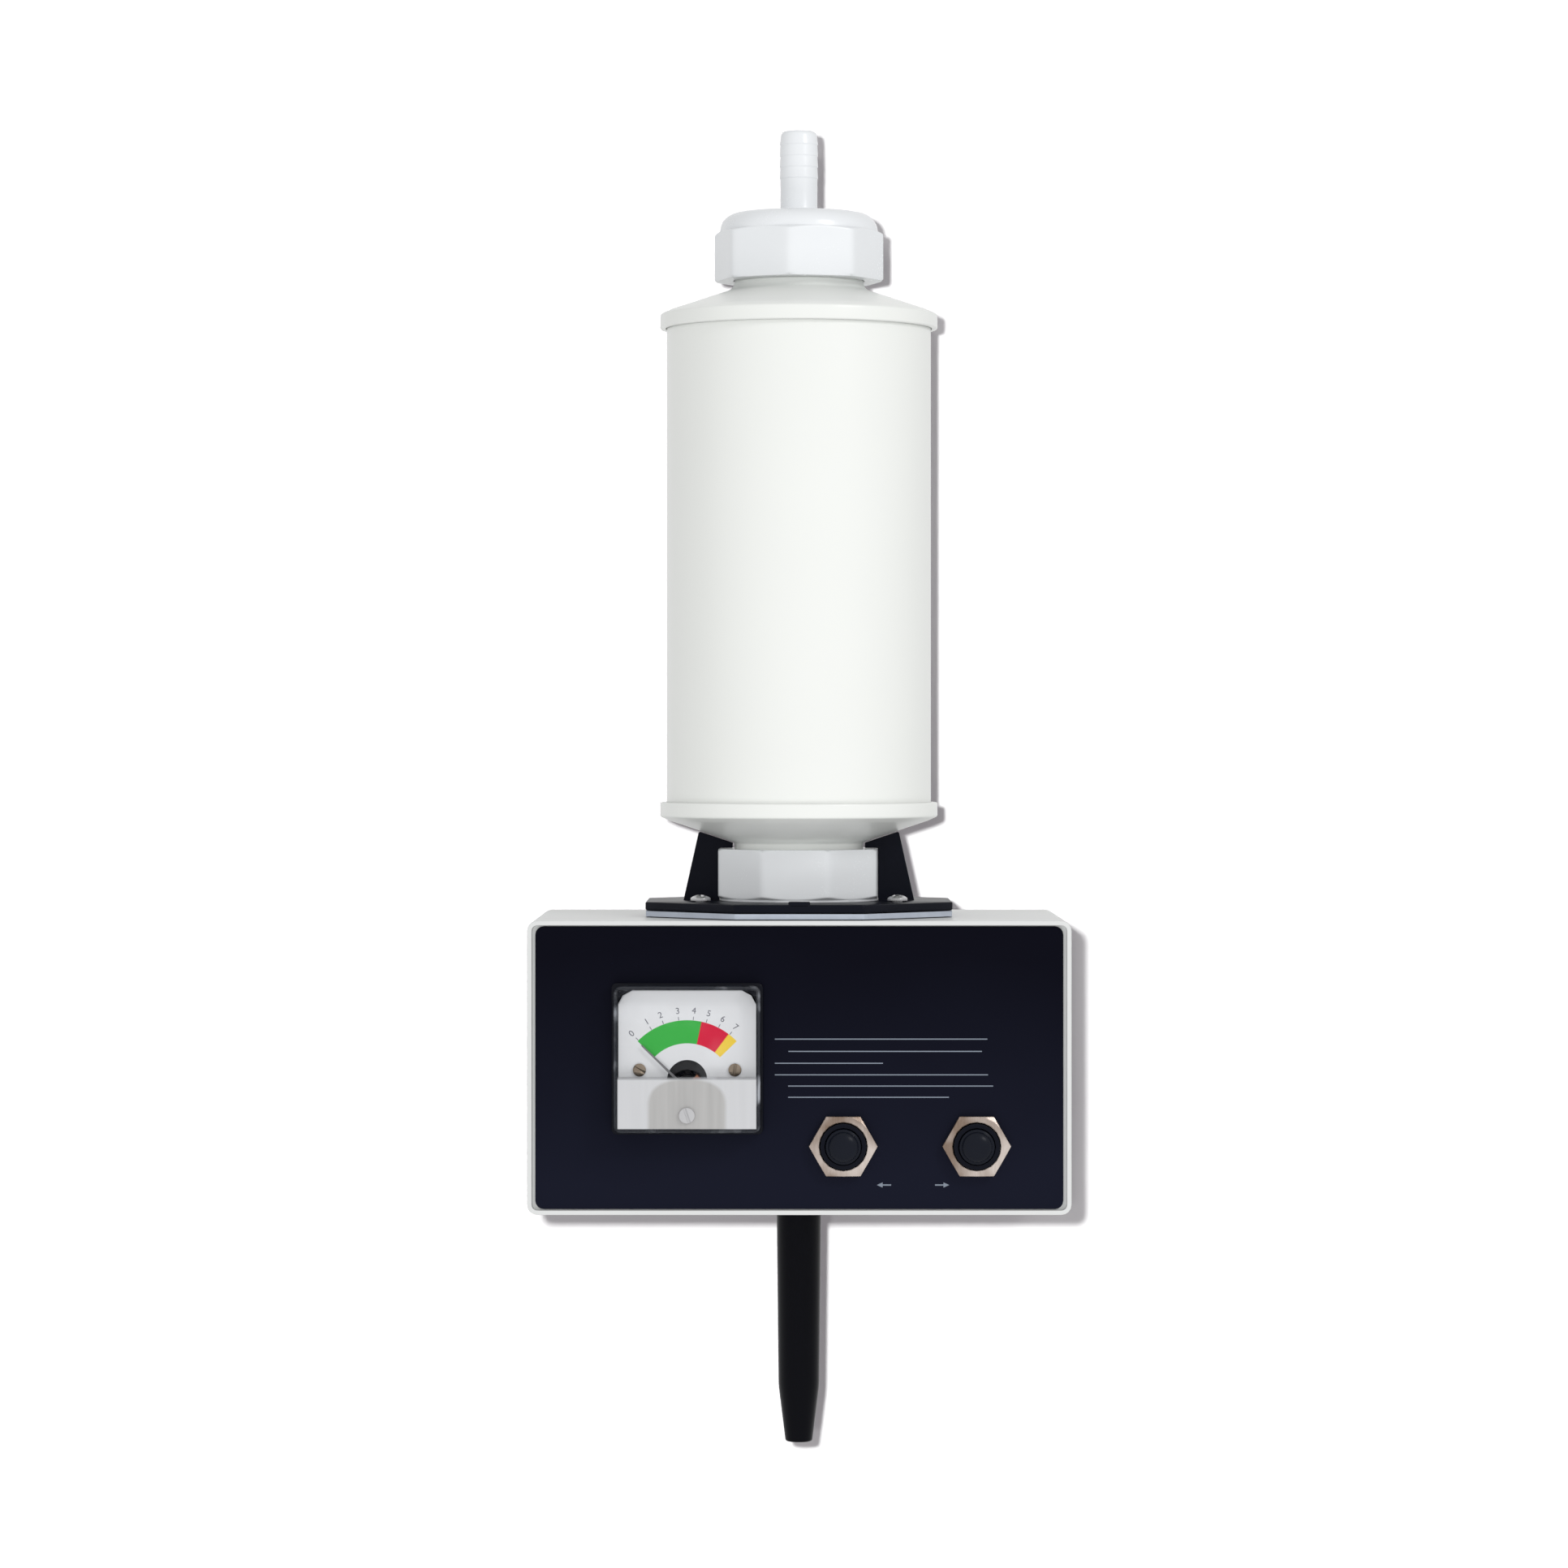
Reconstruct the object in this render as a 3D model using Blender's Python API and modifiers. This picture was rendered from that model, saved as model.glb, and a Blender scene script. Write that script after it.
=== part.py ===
"""A wall-hung bench deioniser: a resin cartridge screwed into a small meter case.

Units are metres. The origin is the centre of the back plate's wall face. +Z is up, the front
faces -Y, and +X is to the right of someone who reads the meter. Lengths named below are real
sizes; where one piece fits another it takes its size from the same values and a clearance.
"""
import math

import bmesh
import bpy

# Clearances and counts shared by all pieces
FIT = 0.0003
OVERRUN = 0.003
MERGE = 0.00002
WELD = 0.000001
LARGE_STEPS = 32
CAP_STEPS = 32
MEDIUM_STEPS = 20
SMALL_STEPS = 10
CORNER_STEPS = 4
DOME_STEPS = 4
SMOOTH_ANGLE = math.radians(32)

# Case
CASE_WIDTH = 0.160
CASE_DEPTH = 0.096
CASE_HEIGHT = 0.0864
CASE_WALL = 0.0013
CASE_CORNER = 0.0030
RIM_DEPTH = 0.0013
FRONT_WALL = 0.0018
PANEL_THICK = 0.0008
PANEL_SIDE_MARGIN = 0.00105
PANEL_END_MARGIN = 0.0003
PANEL_CORNER = 0.0025
BOSS_RADIUS = 0.0046
BOSS_LENGTH = 0.0180
BOSS_INSET = 0.0042

# Back plate, its screws and the keyholes that hang it on two wall screws
PLATE_THICK = 0.0015
SCREW_RADIUS = 0.0015
SCREW_HEAD_RADIUS = 0.0030
SCREW_HEAD_HEIGHT = 0.0019
SCREW_LENGTH = 0.0090
BACK_SCREW_HEAD_HEIGHT = 0.0012
KEYHOLE_SPACING_SHARE = 0.75
KEYHOLE_HEIGHT = 0.0180
KEYHOLE_RADIUS = 0.0046
KEYHOLE_SLOT_WIDTH = 0.0048
KEYHOLE_SLOT_RISE = 0.0105

# Meter, measured from the panel's face and from the centre of the meter's square flange
METER_X_SHARE = -0.205625
METER_Z = 0.0028
METER_SQUARE = 0.0445
METER_CORNER = 0.0016
METER_FLANGE_DEPTH = 0.0029
METER_FLANGE_FLOOR = 0.0010
METER_FLANGE_WALL = 0.0012
BARREL_RADIUS = 0.0190
BARREL_DEPTH = 0.0270
POCKET_RADIUS = 0.0090
POCKET_DEPTH = 0.0160
PIVOT_DROP = 0.0088
COVER_SQUARE = 0.0430
COVER_WALL = 0.0012
COVER_PROUD = 0.0090
COVER_CORNER = 0.0022
POST_RADIUS = 0.0030
DIAL_BOSS_RADIUS = 0.0021
DIAL_THICK = 0.0006
DIAL_BOTTOM_DROP = 0.00615
DIAL_NOTCH_RADIUS = 0.0055
DIAL_SCREW_REACH = 0.0140
DIAL_SCREW_DROP = 0.0032
DIAL_SCREW_RADIUS = 0.0008
DIAL_SCREW_HEAD_RADIUS = 0.0019
DIAL_SCREW_HEAD_HEIGHT = 0.0006
YOKE_THICK = 0.0014
YOKE_RADIUS = 0.0114
YOKE_HOLE_RADIUS = 0.0056
MAGNET_RADIUS = 0.0087
MAGNET_BORE = 0.0062
MAGNET_LENGTH = 0.0140
CORE_RADIUS = 0.0038
CORE_LENGTH = 0.0114
CORE_ARM_WIDTH = 0.0018
CORE_ARM_HEIGHT = 0.0026
COIL_REACH = 0.0054
COIL_BAR = 0.0009
COIL_DEPTH = 0.0016
COIL_LENGTH = 0.0140
COIL_PROUD = 0.0012
NEEDLE_LENGTH = 0.0186
NEEDLE_ROOT_WIDTH = 0.0009
NEEDLE_TIP_WIDTH = 0.0004
NEEDLE_TAIL = 0.0040
NEEDLE_TAIL_WIDTH = 0.0016
NEEDLE_THICK = 0.0003
NEEDLE_HUB_RADIUS = 0.0014
NEEDLE_HUB_HEIGHT = 0.0012
NEEDLE_SHAFT_RADIUS = 0.0005
NEEDLE_REST = math.radians(-46)
ADJUSTER_DROP = 0.0162
ADJUSTER_HEAD_RADIUS = 0.0023
ADJUSTER_HEAD_HEIGHT = 0.0008
ADJUSTER_STEM_RADIUS = 0.0015
ADJUSTER_SLOT_WIDTH = 0.0007
ADJUSTER_SLOT_DEPTH = 0.0004
ADJUSTER_CRANK = 0.0009
ADJUSTER_PIN_RADIUS = 0.0005
ADJUSTER_PIN_LENGTH = 0.0028
STUD_SPACING = 0.0180
STUD_RADIUS = 0.0020
STUD_SINK = 0.0044
STUD_PROUD = 0.0080
STUD_NUT_FLATS = 0.0070
STUD_NUT_THICK = 0.0028
BOARD_WIDTH = 0.0460
BOARD_HEIGHT = 0.0380
BOARD_THICK = 0.0016
BOARD_CORNER = 0.0010
CHIP_SIZE = (0.0190, 0.0064)
TRIMMER_SIZE = (0.0070, 0.0070)
COMPONENT_HEIGHT = 0.0034
CAPACITOR_RADIUS = 0.0030
CAPACITOR_HEIGHT = 0.0070
COMPONENT_PLACE_SHARES = {"chip": (-0.20, -0.30), "trimmer": (0.30, 0.32),
                          "capacitor": (0.30, -0.28)}

# Push buttons, measured from the panel's face; their places across are shares of the width
BUTTON_X_SHARES = {"left": 0.080625, "right": 0.325625}
BUTTON_Z = -0.0230
BUTTON_TRAVEL = 0.0025
BUSH_RADIUS = 0.0068
BUSH_PROUD = 0.0041
BUTTON_NUT_FLATS = 0.0175
BUTTON_NUT_THICK = 0.0028
BUTTON_NUT_CHAMFER = 0.0007
BUTTON_CAP_RADIUS = 0.0052
BUTTON_CAP_PROUD = 0.0032
BUTTON_DOME = 0.0022
BUTTON_BODY_RADIUS = 0.0085
BUTTON_BODY_DEPTH = 0.0215
BUTTON_FLOOR = 0.0020
COLLAR_STOP_DEPTH = 0.0045
COLLAR_RADIUS = 0.0060
COLLAR_THICK = 0.0013
STEM_RADIUS = 0.0024
WASHER_THICK = 0.0008
WASHER_RADIUS = 0.0088
SPRING_RADIUS = 0.0042
SPRING_WIRE = 0.00035
SPRING_TURNS = 4
SPRING_POINTS_PER_TURN = 8
TAG_WIDTH = 0.0028
TAG_THICK = 0.0008
TAG_LENGTH = 0.0060
TAG_SPACING = 0.0080

# Holder on top of the case, measured up from the case top
HOLDER_FLATS = 0.0920
HOLDER_LIFT = 0.0022
HOLDER_THICK = 0.0024
HOLDER_GASKET_INSET = 0.0050
HOLDER_SCREW_X = 0.0295
HOLDER_SCREW_Y = 0.0180
INDEX_WIDTH = 0.0065
INDEX_HEIGHT = 0.0009
INDEX_DEPTH = 0.0040
FIN_THICK = 0.0036
FIN_FOOT_X = 0.0346
FIN_SHOULDER_X = 0.0303
FIN_TIP_CLEARANCE = 0.0005

# Cartridge, one end moulding the mirror of the other
SOCKET_RISE = 0.0202
CARTRIDGE_SPAN = 0.1433
TUBE_RADIUS = 0.0400
TUBE_WALL = 0.0020
END_RIM_OVERHANG = 0.0020
END_RIM_HEIGHT = 0.0043
END_LEDGE_DEPTH = 0.0027
END_WALL = 0.0022
RIM_EDGE = 0.0005
RIM_BEVEL_WIDTH = 0.0030
RIM_BEVEL_ANGLE = math.radians(24)
CONE_ANGLE = math.radians(18.5)
NECK_RADIUS = 0.0195
NECK_WALL = 0.0025
NECK_ENGAGED = 0.0155
NECK_SHOW_LOWER = 0.0019
NECK_SHOW_UPPER = 0.0023
NECK_FILLET = 0.0034
RESIN_END_GAP = 0.0010
STRAINER_THICK = 0.0020
STRAINER_SINK = 0.0006
STRAINER_HOLE_RADIUS = 0.0014
STRAINER_HOLE_CIRCLE = 0.0095
STRAINER_HOLES = 6
STRAINER_HOLE_STEPS = 6

# Octagonal screw cap, the same moulding above and, inverted, below
CAP_VERTEX_RADIUS = 0.0258
CAP_SKIRT = 0.0141
CAP_HEIGHT = 0.0210
CAP_TOP_WALL = 0.0030
CAP_CORNER_RISE = 0.0009
CAP_EDGE_RADIUS = 0.0055
CAP_CROWN = 0.0005
CAP_SEAL_BORE = 0.0110
UPPER_CAP_TURN = math.radians(-6.5)
LOWER_CAP_TURN = math.radians(-3)
BORE_RADIUS = 0.0027

# Hose barb, spigot, flow cell and spout
BARB_RADIUS = 0.0058
BARB_ROOT_RADIUS = 0.0054
BARB_LENGTH = 0.0245
BARB_FIRST = 0.0040
BARB_PITCH = 0.0034
BARB_COUNT = 4
BARB_TIP_RADIUS = 0.0047
BARB_FOOT_FILLET = 0.0016
SPIGOT_RADIUS = 0.0060
SPIGOT_LENGTH = 0.0300
CELL_RADIUS = 0.0100
CELL_LENGTH = 0.0370
CELL_SOCKET_DEPTH = 0.0062
ELECTRODE_RADIUS = 0.0010
ELECTRODE_REACH = 0.0130
ELECTRODE_BORE_GAP = 0.0014
SPOUT_LENGTH = 0.0730
SPOUT_TAPER_LENGTH = 0.0170
SPOUT_TOP_RADIUS = 0.00675
SPOUT_LOW_RADIUS = 0.00615
SPOUT_TIP_RADIUS = 0.00405
SPOUT_STEM_RADIUS = 0.0053
SPOUT_NUT_FLATS = 0.0170
SPOUT_NUT_THICK = 0.0040

# Battery in its spring clip on the back plate
BATTERY_LENGTH = 0.0464
BATTERY_WIDTH = 0.0265
BATTERY_DEPTH = 0.0175
BATTERY_END_ROOM = 0.0078
BATTERY_CORNER = 0.0015
TERMINAL_LENGTH = 0.0024
TERMINAL_SPACING = 0.0127
TERMINAL_RADII = (0.0029, 0.0042)
CLIP_THICK = 0.0008
CLIP_WIDTH = 0.0180
CLIP_REACH = 0.0130
SNAP_THICK = 0.0040
SNAP_DEPTH = 0.0125

# Places worked out from the sizes above
TOP_Z = CASE_HEIGHT / 2
BOTTOM_Z = -CASE_HEIGHT / 2
AXIS_Y = -CASE_DEPTH / 2
CAVITY_WIDTH = CASE_WIDTH - 2 * CASE_WALL
CAVITY_HEIGHT = CASE_HEIGHT - 2 * CASE_WALL
METER_X = CASE_WIDTH * METER_X_SHARE
BUTTON_XS = {side: CASE_WIDTH * share for side, share in BUTTON_X_SHARES.items()}
BATTERY_X = CAVITY_WIDTH / 2 - BATTERY_END_ROOM - BATTERY_LENGTH / 2
PANEL_Y = -CASE_DEPTH + RIM_DEPTH
FRONT_WALL_Y = PANEL_Y + PANEL_THICK + FIT
FRONT_WALL_BACK = PANEL_THICK + FIT + FRONT_WALL
END_RIM_RADIUS = TUBE_RADIUS + END_RIM_OVERHANG
NECK_BORE = NECK_RADIUS - NECK_WALL
CAP_BORE = NECK_RADIUS + FIT
CAP_FLAT_RADIUS = CAP_VERTEX_RADIUS * math.cos(math.pi / 8)
CAP_DOME_RADIUS = CAP_FLAT_RADIUS - FIT / 4
SOCKET_OPEN_Z = TOP_Z + SOCKET_RISE
END_RISE = (RIM_BEVEL_WIDTH * math.tan(RIM_BEVEL_ANGLE)
            + (END_RIM_RADIUS - RIM_BEVEL_WIDTH - NECK_RADIUS) * math.tan(CONE_ANGLE))
LOWER_RIM_Z = SOCKET_OPEN_Z + NECK_SHOW_LOWER + END_RISE + END_RIM_HEIGHT
UPPER_RIM_Z = LOWER_RIM_Z + CARTRIDGE_SPAN
CAP_OPEN_Z = UPPER_RIM_Z + END_RIM_HEIGHT + END_RISE + NECK_SHOW_UPPER
SPIGOT_END_Z = SOCKET_OPEN_Z - CAP_HEIGHT - SPIGOT_LENGTH
CELL_TOP_Z = SPIGOT_END_Z + CELL_SOCKET_DEPTH - FIT
CELL_BOTTOM_Z = CELL_TOP_Z - CELL_LENGTH
BATTERY_Y = -(PLATE_THICK + 2 * FIT + CLIP_THICK + BATTERY_DEPTH / 2)

# Turns that carry a piece drawn on the XY plane to where it stands
FACING_FRONT = (math.pi / 2, 0, 0)
FACING_LEFT = (math.pi / 2, 0, -math.pi / 2)
INVERTED = (math.pi, 0, 0)

# Colour in linear RGB, roughness and metallic value of each finish
FINISHES = {
    "white_paint": ((0.62, 0.63, 0.62), 0.38, 0.0),
    "panel_print": ((0.012, 0.014, 0.026), 0.45, 0.0),
    "white_plastic": ((0.82, 0.84, 0.81), 0.30, 0.0),
    "cap_plastic": ((0.78, 0.79, 0.80), 0.35, 0.0),
    "black_plastic": ((0.012, 0.013, 0.018), 0.40, 0.0),
    "clear_plastic": ((0.80, 0.83, 0.85), 0.08, 0.0),
    "dial_white": ((0.72, 0.75, 0.77), 0.50, 0.0),
    "zinc_steel": ((0.45, 0.45, 0.46), 0.35, 1.0),
    "nickel": ((0.42, 0.38, 0.36), 0.30, 1.0),
    "brass": ((0.55, 0.38, 0.14), 0.30, 1.0),
    "copper": ((0.55, 0.22, 0.10), 0.35, 1.0),
    "grey_rubber": ((0.06, 0.06, 0.065), 0.80, 0.0),
    "board_green": ((0.02, 0.14, 0.05), 0.50, 0.0),
    "resin_amber": ((0.35, 0.18, 0.05), 0.60, 0.0),
    "magnet_grey": ((0.08, 0.08, 0.09), 0.50, 0.6),
    "battery_shell": ((0.05, 0.10, 0.25), 0.40, 0.2),
}


def clear_scene():
    """Remove what the scene holds and add one collection for parts and one for cutters."""
    for thing in list(bpy.data.objects):
        bpy.data.objects.remove(thing, do_unlink=True)
    groups = {}
    for name in ("bench_deioniser", "cutters"):
        groups[name] = bpy.data.collections.new(name)
        bpy.context.scene.collection.children.link(groups[name])
    return groups


def place(name, mesh, at=(0, 0, 0), turn=(0, 0, 0)):
    """Link a mesh as a part at a place, turned about it."""
    part = bpy.data.objects.new(name, mesh)
    part.location = at
    part.rotation_euler = turn
    bpy.data.collections["bench_deioniser"].objects.link(part)
    return part


def finish(part, finish_name):
    """Apply the part's modifiers, shade it and give it its own material."""
    bpy.context.view_layer.update()
    depsgraph = bpy.context.evaluated_depsgraph_get()
    mesh = bpy.data.meshes.new_from_object(part.evaluated_get(depsgraph))
    mesh.name = part.name
    part.modifiers.clear()
    part.data = mesh
    weld(mesh, WELD)
    mesh.shade_smooth()
    mesh.set_sharp_from_angle(angle=SMOOTH_ANGLE)
    colour, roughness, metallic = FINISHES[finish_name]
    material = bpy.data.materials.new(part.name + "_" + finish_name)
    material.use_nodes = True
    shader = material.node_tree.nodes["Principled BSDF"]
    shader.inputs["Base Color"].default_value = (*colour, 1)
    shader.inputs["Roughness"].default_value = roughness
    shader.inputs["Metallic"].default_value = metallic
    mesh.materials.clear()
    mesh.materials.append(material)
    return part


def combine(part, tool, operation):
    """Cut the part with a tool, join them or keep what they share; the tool stays a cutter."""
    boolean = part.modifiers.new(operation.lower() + "_" + tool.name, "BOOLEAN")
    boolean.operation = operation
    boolean.solver = "EXACT"
    boolean.object = tool
    tool.hide_render = True
    tool.display_type = "WIRE"
    bpy.data.collections["bench_deioniser"].objects.unlink(tool)
    bpy.data.collections["cutters"].objects.link(tool)


def cut(part, tool):
    combine(part, tool, "DIFFERENCE")


def join(part, tool):
    combine(part, tool, "UNION")


def turned(name, profile, steps, at=(0, 0, 0), turn=(0, 0, 0), ring=False):
    """Turn a profile of (radius, height) about Z. It runs down its outer side."""
    mesh = bpy.data.meshes.new(name)
    edges = [(i, i + 1) for i in range(len(profile) - 1)]
    if ring:
        edges.append((len(profile) - 1, 0))
    mesh.from_pydata([(radius, 0, height) for radius, height in profile], edges, [])
    part = place(name, mesh, at, turn)
    screw = part.modifiers.new("turn", "SCREW")
    screw.axis = "Z"
    screw.angle = 2 * math.pi
    screw.steps = steps
    screw.render_steps = steps
    screw.use_merge_vertices = True
    screw.merge_threshold = MERGE
    return part


def rod(name, radius, low, high, steps, at=(0, 0, 0), turn=(0, 0, 0)):
    """A plain round bar between two heights of its own axis."""
    profile = [(0, high), (radius, high), (radius, low), (0, low)]
    return turned(name, profile, steps, at, turn)


def slab(name, outlines, low, high, at=(0, 0, 0), turn=(0, 0, 0)):
    """A plate between two heights with the first outline as its edge and the rest as holes."""
    curve = bpy.data.curves.new(name, "CURVE")
    curve.dimensions = "2D"
    curve.fill_mode = "BOTH"
    curve.extrude = (high - low) / 2
    for outline in outlines:
        spline = curve.splines.new("POLY")
        spline.points.add(len(outline) - 1)
        for point, (x, y) in zip(spline.points, outline):
            point.co = (x, y, 0, 1)
        spline.use_cyclic_u = True
    mesh = welded_mesh(curve)
    for vertex in mesh.vertices:
        vertex.co.z += (high + low) / 2
    return place(name, mesh, at, turn)


def weld(mesh, distance):
    """Join the mesh's points that lie closer than a distance."""
    shape = bmesh.new()
    shape.from_mesh(mesh)
    bmesh.ops.remove_doubles(shape, verts=shape.verts, dist=distance)
    bmesh.ops.dissolve_degenerate(shape, edges=shape.edges, dist=distance)
    shape.to_mesh(mesh)
    shape.free()


def welded_mesh(curve):
    """The closed mesh of a curve, its caps joined to its walls; the curve is removed."""
    guide = bpy.data.objects.new("guide", curve)
    bpy.context.scene.collection.objects.link(guide)
    evaluated = guide.evaluated_get(bpy.context.evaluated_depsgraph_get())
    mesh = bpy.data.meshes.new_from_object(evaluated)
    bpy.data.objects.remove(guide, do_unlink=True)
    weld(mesh, MERGE)
    return mesh


def arc(centre, radius, start, end, steps):
    """Points on an arc from one angle to another, both ends included."""
    angles = [start + (end - start) * i / steps for i in range(steps + 1)]
    return [(centre[0] + radius * math.cos(a), centre[1] + radius * math.sin(a)) for a in angles]


def circle(radius, steps, centre=(0, 0)):
    return arc(centre, radius, 0, 2 * math.pi, steps)[:-1]


def polygon(vertex_radius, sides, first_angle=0.0):
    return arc((0, 0), vertex_radius, first_angle, first_angle + 2 * math.pi, sides)[:-1]


def rounded_rectangle(width, height, radius, centre=(0, 0), steps=CORNER_STEPS):
    """A rectangle with round corners, counter-clockwise from the right-hand upper one."""
    points = []
    for quarter, (side, end) in enumerate(((1, 1), (-1, 1), (-1, -1), (1, -1))):
        corner = (centre[0] + side * (width / 2 - radius), centre[1] + end * (height / 2 - radius))
        start = quarter * math.pi / 2
        points += arc(corner, radius, start, start + math.pi / 2, steps)
    return points


def boss_places():
    """The four corners inside the case where the back plate's screws bite."""
    x = CAVITY_WIDTH / 2 - BOSS_INSET
    z = CAVITY_HEIGHT / 2 - BOSS_INSET
    return [(-x, z), (x, z), (-x, -z), (x, -z)]


def holder_screw_places():
    return [(x, AXIS_Y + y) for y in (-HOLDER_SCREW_Y, HOLDER_SCREW_Y)
            for x in (-HOLDER_SCREW_X, HOLDER_SCREW_X)]


def cap_dome_radius(height):
    """Radius of the cap's rounded edge at a height above its open end."""
    centre = CAP_HEIGHT - CAP_CROWN - CAP_EDGE_RADIUS
    rise = min(max(height - centre, 0), CAP_EDGE_RADIUS)
    return CAP_DOME_RADIUS - CAP_EDGE_RADIUS + math.sqrt(CAP_EDGE_RADIUS**2 - rise**2)


def build_case_shell():
    """A box with a front wall set back in its rim, open behind."""
    outer = rounded_rectangle(CASE_WIDTH, CASE_HEIGHT, CASE_CORNER)
    inner = rounded_rectangle(CAVITY_WIDTH, CAVITY_HEIGHT, CASE_CORNER - CASE_WALL)
    shell = slab("case_shell", [outer], 0, CASE_DEPTH, turn=FACING_FRONT)
    front_wall_face = -FRONT_WALL_Y
    cut(shell, slab("case_cavity", [inner], -OVERRUN, front_wall_face - FRONT_WALL,
                    turn=FACING_FRONT))
    cut(shell, slab("rim_recess", [inner], front_wall_face, CASE_DEPTH + OVERRUN,
                    turn=FACING_FRONT))
    for number, (x, z) in enumerate(boss_places(), start=1):
        low = PLATE_THICK + FIT
        join(shell, rod(f"boss_{number}", BOSS_RADIUS, low, low + BOSS_LENGTH, SMALL_STEPS,
                        (x, 0, z), FACING_FRONT))
        cut(shell, rod(f"boss_hole_{number}", SCREW_RADIUS + FIT, 0, SCREW_LENGTH + OVERRUN,
                       SMALL_STEPS, (x, 0, z), FACING_FRONT))
    wall_low = front_wall_face - FRONT_WALL - OVERRUN
    cut(shell, rod("barrel_hole", BARREL_RADIUS + FIT, wall_low, CASE_DEPTH, LARGE_STEPS,
                   (METER_X, 0, METER_Z), FACING_FRONT))
    for side, x in BUTTON_XS.items():
        cut(shell, rod("bush_hole_" + side, BUSH_RADIUS + FIT, wall_low, CASE_DEPTH,
                       MEDIUM_STEPS, (x, 0, BUTTON_Z), FACING_FRONT))
    seat_radius = cap_dome_radius(CAP_HEIGHT - (TOP_Z - (SOCKET_OPEN_Z - CAP_HEIGHT))) + FIT
    cut(shell, rod("socket_hole", seat_radius, TOP_Z - CASE_WALL - OVERRUN, TOP_Z + OVERRUN,
                   LARGE_STEPS, (0, AXIS_Y, 0)))
    cut(shell, rod("spout_hole", SPOUT_STEM_RADIUS + FIT, BOTTOM_Z - OVERRUN,
                   BOTTOM_Z + CASE_WALL + OVERRUN, MEDIUM_STEPS, (0, AXIS_Y, 0)))
    for number, (x, y) in enumerate(holder_screw_places(), start=1):
        cut(shell, rod(f"holder_hole_{number}", SCREW_RADIUS + FIT, TOP_Z - CASE_WALL - OVERRUN,
                       TOP_Z + OVERRUN, SMALL_STEPS, (x, y, 0)))
    finish(shell, "white_paint")


def build_front_panel():
    """The printed plate that lies on the front wall, a little smaller than the recess."""
    edge = rounded_rectangle(CAVITY_WIDTH - 2 * PANEL_SIDE_MARGIN,
                             CAVITY_HEIGHT - 2 * PANEL_END_MARGIN, PANEL_CORNER)
    holes = [circle(BARREL_RADIUS + FIT, LARGE_STEPS, (METER_X, METER_Z))]
    holes += [circle(BUSH_RADIUS + FIT, MEDIUM_STEPS, (x, BUTTON_Z)) for x in BUTTON_XS.values()]
    panel = slab("front_panel", [edge] + holes, -PANEL_THICK, 0, (0, PANEL_Y, 0), FACING_FRONT)
    finish(panel, "panel_print")


def keyhole(x):
    """A round hole with a narrower slot rising from it."""
    half_slot = KEYHOLE_SLOT_WIDTH / 2
    mouth = math.acos(half_slot / KEYHOLE_RADIUS)
    points = arc((x, KEYHOLE_HEIGHT), KEYHOLE_RADIUS, math.pi - mouth, 2 * math.pi + mouth,
                 MEDIUM_STEPS)
    slot_top = KEYHOLE_HEIGHT + KEYHOLE_SLOT_RISE - half_slot
    return points + arc((x, slot_top), half_slot, 0, math.pi, SMALL_STEPS)


def build_back_plate():
    """The plate inside the back of the shell, which hangs the case and closes it."""
    edge = rounded_rectangle(CAVITY_WIDTH - 2 * FIT, CAVITY_HEIGHT - 2 * FIT,
                             CASE_CORNER - CASE_WALL - FIT)
    holes = [circle(SCREW_RADIUS + FIT, SMALL_STEPS, corner) for corner in boss_places()]
    holes += [keyhole(side * CASE_WIDTH * KEYHOLE_SPACING_SHARE / 2) for side in (-1, 1)]
    plate = slab("back_plate", [edge] + holes, 0, PLATE_THICK, turn=FACING_FRONT)
    head_radius = SCREW_HEAD_RADIUS + FIT
    slope = (SCREW_HEAD_RADIUS - SCREW_RADIUS) / BACK_SCREW_HEAD_HEIGHT
    for number, (x, z) in enumerate(boss_places(), start=1):
        sink = [(0, head_radius / slope), (head_radius + OVERRUN * slope, -OVERRUN), (0, -OVERRUN)]
        cut(plate, turned(f"countersink_{number}", sink, SMALL_STEPS, (x, 0, z), FACING_FRONT))
    finish(plate, "zinc_steel")
    for number, (x, z) in enumerate(boss_places(), start=1):
        profile = [(0, SCREW_LENGTH), (SCREW_RADIUS, SCREW_LENGTH),
                   (SCREW_RADIUS, BACK_SCREW_HEAD_HEIGHT), (SCREW_HEAD_RADIUS, FIT / 2),
                   (0, FIT / 2)]
        finish(turned(f"back_screw_{number}", profile, SMALL_STEPS, (x, 0, z), FACING_FRONT),
               "zinc_steel")


def meter_place(height=0.0, drop=0.0, reach=0.0):
    """A world place from a height above the panel, a drop and a reach from the meter's centre."""
    return (METER_X + reach, PANEL_Y - height, METER_Z - drop)


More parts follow.
